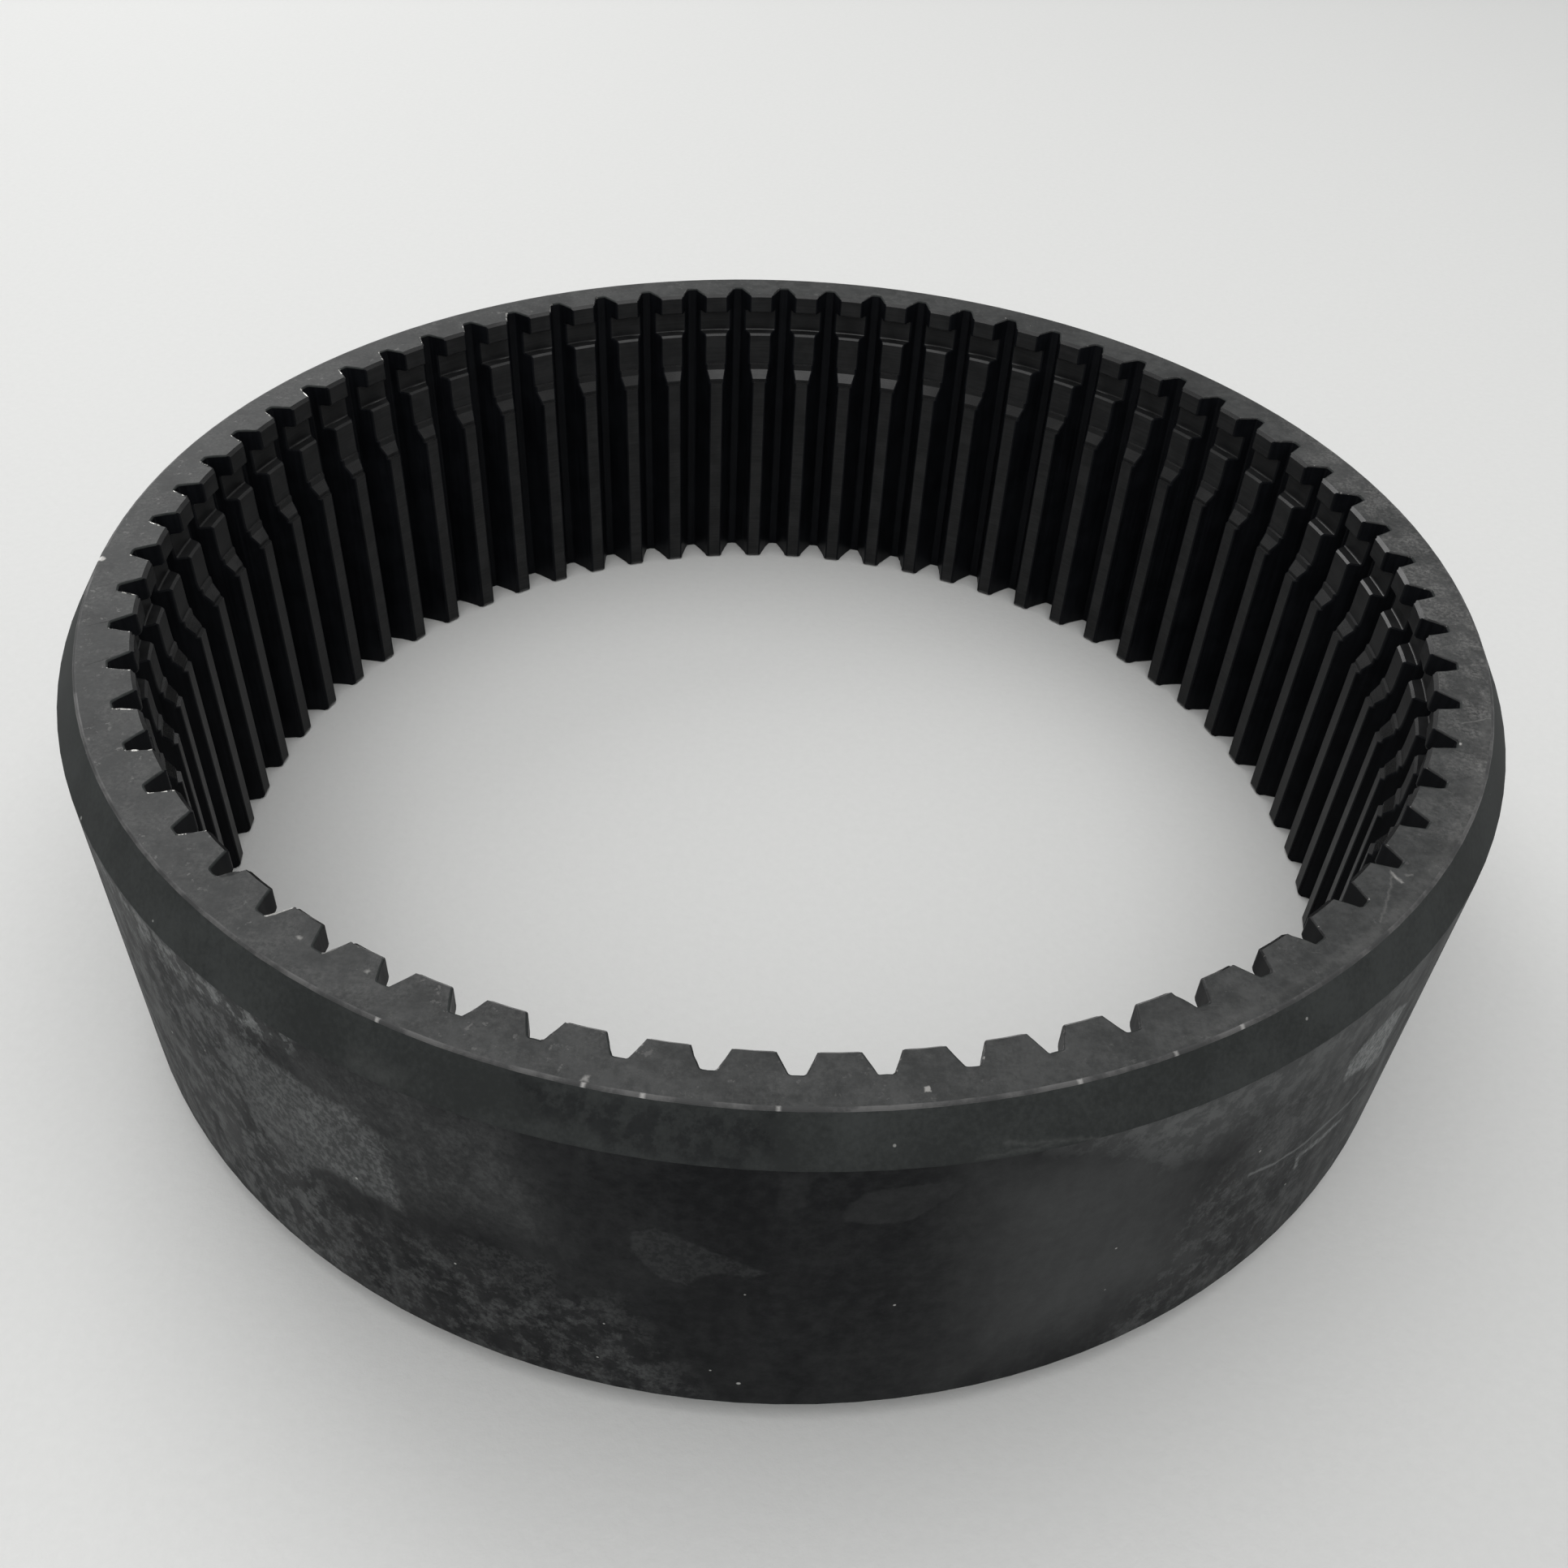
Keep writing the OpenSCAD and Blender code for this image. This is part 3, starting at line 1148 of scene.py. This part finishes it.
@dataclass
class TurnedSection:
    """Section of the ring, turned about the axis.

    Attributes:
        height: Height of the ring.
        outer_r: Radius of the outer wall.
        tip_r: Radius of the full tips.
        top_chamfer: Radial width and height of the upper outer chamfer.
        bottom_chamfer: Radial width and height of the lower outer chamfer.
        relief_cut: How far the tips are cut back over the upper end.
        relief_depth: Depth at which the full teeth begin.
        runout_r: Radius of the run-out of the land.
        runout_w: Radial width of the run-out.
        upper_tread: Radial width of the upper tread of the shoulder.
        upper_riser: Height of the riser below it.
        ramp_h: Height of the ramp between the risers.
        lower_riser: Height of the riser above the lower tread.
        lower_tread: Radial width of the lower tread.
        tread_fall: Fall of each tread towards the axis.
        top_break: Edge break of the tips at the upper face.
        groove_top: Depth of the upper groove wall.
        groove_w: Width of the groove.
        groove_depth: Depth of the groove from the turned tips.
        groove_fillet: Radius in the corners of its floor.
        upper_lip: Edge break of the upper lip.
        lower_lip: Lead-in of the lower lip.
        edge_r: Radius of the rounded outer edges.
        foot_r: Radius of the worn tips at the lower face.
        edge_parts: Straight pieces in a rounded outer edge.
        corner_parts: Straight pieces in a corner of the groove and in the worn tips.
        runout_parts: Straight pieces in the run-out.
    """

    height: float = 84 * MM
    outer_r: float = 147.6 * MM
    tip_r: float = 129 * MM
    top_chamfer: tuple[float, float] = (4.9 * MM, 7.9 * MM)
    bottom_chamfer: tuple[float, float] = (3.7 * MM, 5.9 * MM)
    relief_cut: float = 3 * MM
    relief_depth: float = 25.1 * MM
    runout_r: float = 20 * MM
    runout_w: float = 0.15 * MM
    upper_tread: float = 0.55 * MM
    upper_riser: float = 1.5 * MM
    ramp_h: float = 2.2 * MM
    lower_riser: float = 0.8 * MM
    lower_tread: float = 0.8 * MM
    tread_fall: float = 0.2 * MM
    top_break: float = 0.7 * MM
    groove_top: float = 5.3 * MM
    groove_w: float = 6.2 * MM
    groove_depth: float = 2.8 * MM
    groove_fillet: float = 0.5 * MM
    upper_lip: float = 0.5 * MM
    lower_lip: float = 0.5 * MM
    edge_r: float = 0.8 * MM
    foot_r: float = 1.2 * MM
    edge_parts: int = 3
    corner_parts: int = 4
    runout_parts: int = 5

    @property
    def relief_r(self) -> float:
        """Radius of the turned back tips."""
        return self.tip_r + self.relief_cut

    def outside(self) -> list[Vector]:
        """Return the outer side, with rounded edges.

        Returns:
            Points from the lower face up to the upper face.
        """
        sharp = [
            (self.tip_r, 0.0),
            (self.outer_r - self.bottom_chamfer[0], 0.0),
            (self.outer_r, self.bottom_chamfer[1]),
            (self.outer_r, self.height - self.top_chamfer[1]),
            (self.outer_r - self.top_chamfer[0], self.height),
            (self.tip_r, self.height),
        ]
        points = [Vector((r, 0.0, z)) for r, z in sharp]
        side: list[Vector] = []
        for before, corner, after in zip(points, points[1:], points[2:]):
            side += rounded(before, corner, after, self.edge_r, self.edge_parts)
        return side

    def inside(self) -> list[Vector]:
        """Return the turned inner side.

        Returns:
            Points from the upper face down to the lower face.
        """
        top, land = self.height, self.relief_r
        upper = top - self.groove_top
        lower = upper - self.groove_w
        floor = land + self.groove_depth - self.groove_fillet
        runout = math.degrees(math.acos(1 - self.runout_w / self.runout_r))
        tips = top - self.relief_depth
        lower_z = tips + self.tread_fall
        upper_z = lower_z + self.lower_riser + self.ramp_h + self.upper_riser
        foot = upper_z + self.tread_fall
        land_end = foot + self.runout_r * math.sin(math.radians(runout))
        upper_r = land - self.runout_w - self.upper_tread
        lower_r = self.tip_r + self.lower_tread
        side = [Vector((r, 0.0, z)) for r, z in (
            (land + self.top_break, top),
            (land, top - self.top_break),
            (land, upper + self.upper_lip),
            (land + self.upper_lip, upper),
        )]
        corner = self.groove_fillet
        side += arc((floor, upper - corner), corner, 90, 0, self.corner_parts)
        side += arc((floor, lower + corner), corner, 0, -90, self.corner_parts)
        side += [Vector((land + self.lower_lip, 0.0, lower)), Vector((land, 0.0, lower - self.lower_lip))]
        side += arc((land - self.runout_r, land_end), self.runout_r, 0, -runout, self.runout_parts)
        side += [Vector((r, 0.0, z)) for r, z in (
            (upper_r, upper_z),
            (upper_r, upper_z - self.upper_riser),
            (lower_r, lower_z + self.lower_riser),
            (lower_r, lower_z),
            (self.tip_r, tips),
        )]
        side += arc((self.tip_r + self.foot_r, self.foot_r), self.foot_r, 180, 270, self.corner_parts)
        return side


@dataclass
class RingGear:
    """The whole ring: its blank, its tooth gaps, its broken edges and its finishes.

    Attributes:
        teeth: Form of the tooth gaps.
        section: Section of the blank.
        parts_per_tooth: Straight pieces of the ring over one tooth and gap.
        rim_break: Width of the broken edges that the cut leaves in the end faces.
        tooth_break: Width of the broken edges along the tips.
        overrun: How far a cut runs past the surface it opens.
        sharp_angle: Angle in degrees past which an edge stays sharp in shading.
        chip_depth: Largest depth of a chip in a broken edge.
        chip_size: Width of the chips.
        chip_level: Level of the lump pattern above which the edge is chipped.
        burr_height: Height of the burr where the lump pattern is full.
        burr_level: Depth of the lump pattern from which the burr rises.
        burr_lean: Least share of a normal along the rim by which a surface faces clockwise.
        burr_share: Share of the burr on the axis, and how much it gains towards -X.
        ridge: Least and largest depth of the burr's ridge below the face, as shares of the broken edge.
        break_parts: Strips in a broken edge.
        near: Distance within which a point counts as lying in an end face.
        wall_depth: How far inside the outer radius a facet of the wall may lie.
        edge_depth: How far inside it the rounded edge between wall and chamfer lies.
        upright: Largest upward share of a wall's normal.
        tread_rise: Least upward share of the normal of a tread or the ramp.
        lip_rise: Least and largest upward share of the normal of a lip.
    """

    teeth: ToothForm = field(default_factory=ToothForm)
    section: TurnedSection = field(default_factory=TurnedSection)
    parts_per_tooth: int = 2
    rim_break: float = 0.36 * MM
    tooth_break: float = 0.38 * MM
    overrun: float = 1 * MM
    sharp_angle: float = 9.0
    chip_depth: float = 0.30 * MM
    chip_size: float = 0.9 * MM
    chip_level: float = 0.12
    burr_height: float = 0.42 * MM
    burr_level: float = 0.15
    burr_lean: float = 0.1
    burr_share: tuple[float, float] = (0.6, 0.4)
    ridge: tuple[float, float] = (1 / 50, 1 / 3)
    break_parts: int = 3
    near: float = 0.01 * MM
    wall_depth: float = 0.2 * MM
    edge_depth: float = 1 * MM
    upright: float = 0.02
    tread_rise: float = 0.5
    lip_rise: tuple[float, float] = (0.45, 0.9)

    def build(self) -> bpy.types.Object:
        """Build the ring and set it in place of the plain solid.

        Returns:
            The finished object.
        """
        finishes = (
            GroundFace(), SmoothChamfer(), StainedAndSheenWall(), TurnedLand(),
            CutGap(), WornEdgeAndHighlight(), TurnedLip(), SoftRimAndHighlight(),
        )
        materials = [finish.make() for finish in finishes]
        blank = self.as_object("blank", self.blank(), materials)
        cutter = self.as_object("cutter", self.cutter(), materials)
        mesh = self.cut(blank, cutter)
        self.finish_edges(mesh)
        ring = bpy.data.objects.new("ring", mesh)
        bpy.context.scene.collection.objects.link(ring)
        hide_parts(NODE)
        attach(ring, BODY)
        return ring

    def as_object(
        self, name: str, bm: bmesh.types.BMesh, materials: list[bpy.types.Material],
    ) -> bpy.types.Object:
        """Turn a bmesh into an object with the ring's material slots.

        Args:
            name: Name of the object.
            bm: The mesh, freed here.
            materials: Materials in the order of the zones.

        Returns:
            The new object.
        """
        mesh = bpy.data.meshes.new(name)
        bm.to_mesh(mesh)
        bm.free()
        for material in materials:
            mesh.materials.append(material)
        made = bpy.data.objects.new(name, mesh)
        bpy.context.scene.collection.objects.link(made)
        return made

    def blank(self) -> bmesh.types.BMesh:
        """Turn the section about the axis.

        Returns:
            The closed blank, with its zones.
        """
        bm = bmesh.new()
        points = [bm.verts.new(p) for p in self.section.outside() + self.section.inside()]
        edges = [bm.edges.new((a, b)) for a, b in zip(points, points[1:] + points[:1])]
        bmesh.ops.spin(
            bm, geom=points + edges, cent=(0, 0, 0), axis=(0, 0, 1), dvec=(0, 0, 0), angle=TURN,
            steps=self.teeth.teeth * self.parts_per_tooth, use_merge=True, use_normal_flip=False,
            use_duplicate=False,
        )
        bmesh.ops.remove_doubles(bm, verts=bm.verts, dist=WELD)
        bmesh.ops.recalc_face_normals(bm, faces=bm.faces)
        for face in bm.faces:
            face.material_index = self.zone_of(face)
        return bm

    def zone_of(self, face: bmesh.types.BMFace) -> Zone:
        """Return the zone of a face of the blank.

        Args:
            face: A face of the turned blank.

        Returns:
            Its zone.
        """
        middle = face.calc_center_median()
        radius = math.hypot(middle.x, middle.y)
        shape = self.section
        if min(middle.z, shape.height - middle.z) < self.near:
            return Zone.FACE
        if radius < self.teeth.root_r:
            return Zone.LIP if self.is_lip(face) else Zone.LAND
        if radius > shape.outer_r - self.wall_depth and abs(face.normal.z) < self.upright:
            return Zone.WALL
        if self.is_chamfer(face) or radius > shape.outer_r - self.edge_depth:
            return Zone.CHAMFER
        return Zone.RIM

    def is_lip(self, face: bmesh.types.BMFace) -> bool:
        """Return whether an inner face is an edge break, a lip of the groove, a tread or the ramp.

        Args:
            face: A face of the turned blank.

        Returns:
            True for the smoother, paler faces.
        """
        middle = face.calc_center_median()
        radius = math.hypot(middle.x, middle.y)
        shape = self.section
        tread = face.normal.z > self.tread_rise and radius < shape.relief_r
        lip = self.lip_rise[0] < face.normal.z < self.lip_rise[1] and radius > shape.relief_r
        foot = middle.z < shape.foot_r
        return tread or lip or foot

    def is_chamfer(self, face: bmesh.types.BMFace) -> bool:
        """Return whether a face is as tall as a chamfer, and not a rounded edge."""
        heights = [vert.co.z for vert in face.verts]
        return max(heights) - min(heights) > 2 * self.section.edge_r

    def cutter(self) -> bmesh.types.BMesh:
        """Make the tooth gaps as separate prisms round the ring.

        Returns:
            The prisms, all in the gap zone.
        """
        bm = bmesh.new()
        outline = [bm.verts.new(p) for p in self.teeth.gap_outline(self.overrun)]
        bmesh.ops.translate(bm, verts=outline, vec=(0, 0, -self.overrun))
        foot = bm.faces.new(outline)
        grown = bmesh.ops.extrude_face_region(bm, geom=[foot], use_keep_orig=True)
        raised = [item for item in grown["geom"] if isinstance(item, bmesh.types.BMVert)]
        bmesh.ops.translate(bm, verts=raised, vec=(0, 0, self.section.height + 2 * self.overrun))
        bmesh.ops.recalc_face_normals(bm, faces=bm.faces)
        last = self.teeth.teeth - 1
        bmesh.ops.spin(
            bm, geom=bm.verts[:] + bm.edges[:] + bm.faces[:], cent=(0, 0, 0), axis=(0, 0, 1),
            dvec=(0, 0, 0), angle=TURN * last / self.teeth.teeth, steps=last, use_merge=False,
            use_normal_flip=False, use_duplicate=True,
        )
        for face in bm.faces:
            face.material_index = Zone.GAP
        return bm

    def cut(self, blank: bpy.types.Object, cutter: bpy.types.Object) -> bpy.types.Mesh:
        """Cut the tooth gaps out of the blank.

        Args:
            blank: The turned ring, removed here.
            cutter: The tooth gaps, removed here.

        Returns:
            The mesh of the cut ring.
        """
        change = blank.modifiers.new("gaps", "BOOLEAN")
        change.operation = "DIFFERENCE"
        change.solver = "EXACT"
        change.object = cutter
        bpy.context.view_layer.update()
        graph = bpy.context.evaluated_depsgraph_get()
        mesh = bpy.data.meshes.new_from_object(blank.evaluated_get(graph))
        mesh.name = "ring"
        for used in (blank, cutter):
            data = used.data
            bpy.data.objects.remove(used)
            bpy.data.meshes.remove(data)
        return mesh

    def finish_edges(self, mesh: bpy.types.Mesh) -> None:
        """Break the edges that the cut left, chip them here and there, and set the shading.

        Args:
            mesh: The mesh of the cut ring, changed in place.
        """
        bm = bmesh.new()
        bm.from_mesh(mesh)
        bmesh.ops.remove_doubles(bm, verts=bm.verts, dist=2 * WELD)
        bmesh.ops.dissolve_degenerate(bm, dist=2 * WELD, edges=bm.edges)
        outline = [edge for edge in bm.edges if self.is_cut_edge(edge) and self.on_end(edge)]
        broken = self.bevel(bm, outline, self.rim_break)
        bm.normal_update()
        for face in broken["faces"]:
            # The burred side takes the worn edge finish, whose pale bare stretches are partly painted
            # highlight.
            burred = self.faces_clockwise(face.calc_center_median(), face.normal)
            face.material_index = Zone.EDGE if burred else Zone.CHAMFER
        for vert in broken["verts"]:
            self.wear(vert)
        tips = [edge for edge in bm.edges if self.is_tooth_edge(edge)]
        sides = self.bevel(bm, tips, self.tooth_break)
        for face in sides["faces"]:
            face.material_index = Zone.GAP
        for vert in bm.verts:
            vert.co.z = max(vert.co.z, 0.0)
        for face in bm.faces:
            face.smooth = True
        limit = math.radians(self.sharp_angle)
        for edge in bm.edges:
            edge.smooth = edge.calc_face_angle(TURN) < limit
        bm.to_mesh(mesh)
        bm.free()

    def faces_clockwise(self, place: Vector, normal: Vector) -> bool:
        """Return whether a surface faces clockwise round the ring, as the burred side of each gap does.

        Args:
            place: A point of the surface.
            normal: Its normal.

        Returns:
            True on the burred side.
        """
        clockwise = normal.x * place.y - normal.y * place.x
        return clockwise / math.hypot(place.x, place.y) > self.burr_lean

    def wear(self, vert: bmesh.types.BMVert) -> None:
        """Raise a point of a broken edge into the burr that the cutter left, or chip it.

        Args:
            vert: A point of a broken edge, moved in place.
        """
        lump = noise.noise(vert.co / self.chip_size)
        below = self.section.height - vert.co.z
        on_ridge = self.ridge[0] < below / self.rim_break < self.ridge[1]
        if on_ridge and self.faces_clockwise(vert.co, vert.normal):
            share = self.burr_share[0] - self.burr_share[1] * vert.co.x / self.section.outer_r
            vert.co.z += self.burr_height * share * max(0.0, lump + self.burr_level)
        else:
            vert.co -= vert.normal * (self.chip_depth * max(0.0, lump - self.chip_level))

    def bevel(self, bm: bmesh.types.BMesh, edges: list[bmesh.types.BMEdge], width: float) -> dict:
        """Round a set of edges.

        Args:
            bm: The mesh.
            edges: Edges to round.
            width: Distance of the round from the edge.

        Returns:
            The new faces and vertices.
        """
        LOG.info("edges to break: %d", len(edges))
        return bmesh.ops.bevel(
            bm, geom=edges, offset=width, offset_type="OFFSET", affect="EDGES",
            segments=self.break_parts, profile=0.5, material=-1, clamp_overlap=False,
        )

    def on_end(self, edge: bmesh.types.BMEdge) -> bool:
        """Return whether an edge lies in one of the end faces."""
        top = self.section.height
        return all(min(abs(vert.co.z), abs(vert.co.z - top)) < self.near / 2 for vert in edge.verts)

    def is_cut_edge(self, edge: bmesh.types.BMEdge) -> bool:
        """Return whether an edge lies between a tooth gap and the turned blank."""
        zones = [face.material_index == Zone.GAP for face in edge.link_faces]
        return len(zones) == 2 and zones[0] != zones[1]

    def is_tooth_edge(self, edge: bmesh.types.BMEdge) -> bool:
        """Return whether an edge lies between a flank and a turned tip."""
        zones = {face.material_index for face in edge.link_faces}
        return len(zones) == 2 and Zone.GAP in zones and bool(zones & {Zone.LAND, Zone.LIP})


@dataclass(frozen=True)
class PaleFloor(Finish):
    """Matt pale floor with a fine grain."""

    name: str = "pale_floor"
    specular: float = 0.2
    pale: Colour = (0.71, 0.712, 0.70)
    shade: float = 0.94
    rough: float = 0.7

    def dress(self, bench: NodeBench, shader: bpy.types.Node) -> None:
        """Wire the grain.

        Args:
            bench: The bench of the material's tree.
            shader: The surface shader to feed.
        """
        grain = bench.noise(2.2 * MM, 3.0, 0.6)
        shaded = tuple(self.shade * part for part in self.pale)
        bench.put(shader.inputs["Base Color"], bench.blend(grain, shaded, self.pale))
        shader.inputs["Roughness"].default_value = self.rough
        bench.put(shader.inputs["Normal"], bench.bump(grain, 0.5 * MM, 0.25))


@dataclass(frozen=True)
class Lamp:
    """A square soft light.

    Attributes:
        name: Name of the lamp.
        at: Place of the lamp.
        to: Point it faces.
        size: Width of the lamp.
        watts: Power of the lamp.
    """

    name: str
    at: Triple
    to: Triple
    size: float
    watts: float

    def hang(self) -> None:
        """Hang the lamp in the scene."""
        data = bpy.data.lights.new(self.name, "AREA")
        data.shape = "SQUARE"
        data.size = self.size
        data.energy = self.watts
        lamp = bpy.data.objects.new(self.name, data)
        way = Vector(self.to) - Vector(self.at)
        turn = way.to_track_quat("-Z", "Y").to_matrix().to_4x4()
        lamp.matrix_world = Matrix.Translation(self.at) @ turn
        bpy.context.scene.collection.objects.link(lamp)


@dataclass
class Studio:
    """Pale floor, soft lights and the camera.

    Attributes:
        floor_half: Half of the floor's width.
        lamps: The soft lights.
        sky: Colour of the surroundings.
        sky_strength: Strength of the surroundings.
        eye_radius: Distance of the camera from the axis.
        eye_azimuth: Direction of the camera about the axis, in degrees.
        eye_height: Height of the camera above the floor.
        look_azimuth: Direction in which the camera looks, in degrees.
        look_down: Angle below the horizon at which it looks, in degrees.
        roll: Turn of the camera about its own axis, in degrees.
        focal_px: Focal length in pixels of the frame.
        centre_px: Offset of the optical axis from the middle of the frame, right and down.
        frame_px: Width of the frame in pixels.
        sensor_mm: Width of the camera's sensor in millimetres.
    """

    floor_half: float = 4.0
    lamps: tuple[Lamp, ...] = (
        Lamp("overhead", (0.0, 0.1, 2.0), (0.0, 0.05, 0.0), 2.4, 25.0),
        Lamp("back", (-0.9, 1.3, 1.15), (0.0, 0.0, 0.05), 1.0, 11.0),
        Lamp("front", (0.0, -1.4, 1.3), (0.0, 0.0, 0.05), 1.2, 8.0),
    )
    sky: Colour = (0.94, 0.945, 0.95)
    sky_strength: float = 0.42
    eye_radius: float = 271.39 * MM
    eye_azimuth: float = -89.524
    eye_height: float = 259.28 * MM
    look_azimuth: float = 90.975
    look_down: float = 41.3294
    roll: float = 2.7914
    focal_px: float = 1848.64
    centre_px: tuple[float, float] = (-21.25, -7.21)
    frame_px: float = 1932.0
    sensor_mm: float = 36.0

    def build(self) -> None:
        """Build the floor, the surroundings, the lights and the camera."""
        self.floor()
        self.surroundings()
        for lamp in self.lamps:
            lamp.hang()
        self.camera()
        bpy.context.scene.view_settings.view_transform = "Standard"

    def floor(self) -> bpy.types.Object:
        """Lay the pale floor.

        Returns:
            The floor object.
        """
        bm = bmesh.new()
        bmesh.ops.create_grid(bm, x_segments=1, y_segments=1, size=self.floor_half)
        mesh = bpy.data.meshes.new("floor")
        bm.to_mesh(mesh)
        bm.free()
        mesh.materials.append(PaleFloor().make())
        floor = bpy.data.objects.new("floor", mesh)
        bpy.context.scene.collection.objects.link(floor)
        return floor

    def surroundings(self) -> None:
        """Set the soft light of the surroundings."""
        world = bpy.data.worlds.new("surroundings")
        world.use_nodes = True
        ground = world.node_tree.nodes["Background"]
        ground.inputs["Color"].default_value = (*self.sky, 1.0)
        ground.inputs["Strength"].default_value = self.sky_strength
        bpy.context.scene.world = world

    def camera(self) -> None:
        """Set up the camera at the viewing angle."""
        data = bpy.data.cameras.new("camera")
        data.sensor_width = self.sensor_mm
        data.lens = self.sensor_mm * self.focal_px / self.frame_px
        data.shift_x = -self.centre_px[0] / self.frame_px
        data.shift_y = self.centre_px[1] / self.frame_px
        data.clip_start = 1 * MM
        azimuth = math.radians(self.eye_azimuth)
        across = self.eye_radius * math.cos(azimuth)
        along = self.eye_radius * math.sin(azimuth)
        eye = Vector((across, along, self.eye_height))
        turn = Matrix.Rotation(math.radians(self.look_azimuth - 90.0), 4, "Z")
        tilt = Matrix.Rotation(math.radians(90.0 - self.look_down), 4, "X")
        roll = Matrix.Rotation(math.radians(self.roll), 4, "Z")
        camera = bpy.data.objects.new("camera", data)
        camera.matrix_world = Matrix.Translation(eye) @ turn @ tilt @ roll
        bpy.context.scene.collection.objects.link(camera)
        bpy.context.scene.camera = camera


def main() -> None:
    """Build the ring and the studio, and report each."""
    logging.basicConfig(level=logging.INFO, format="%(name)s: %(message)s")
    ring = RingGear().build()
    LOG.info("ring: %d faces", len(ring.data.polygons))
    Studio().build()
    LOG.info("studio ready")


if __name__ == "__main__":
    main()
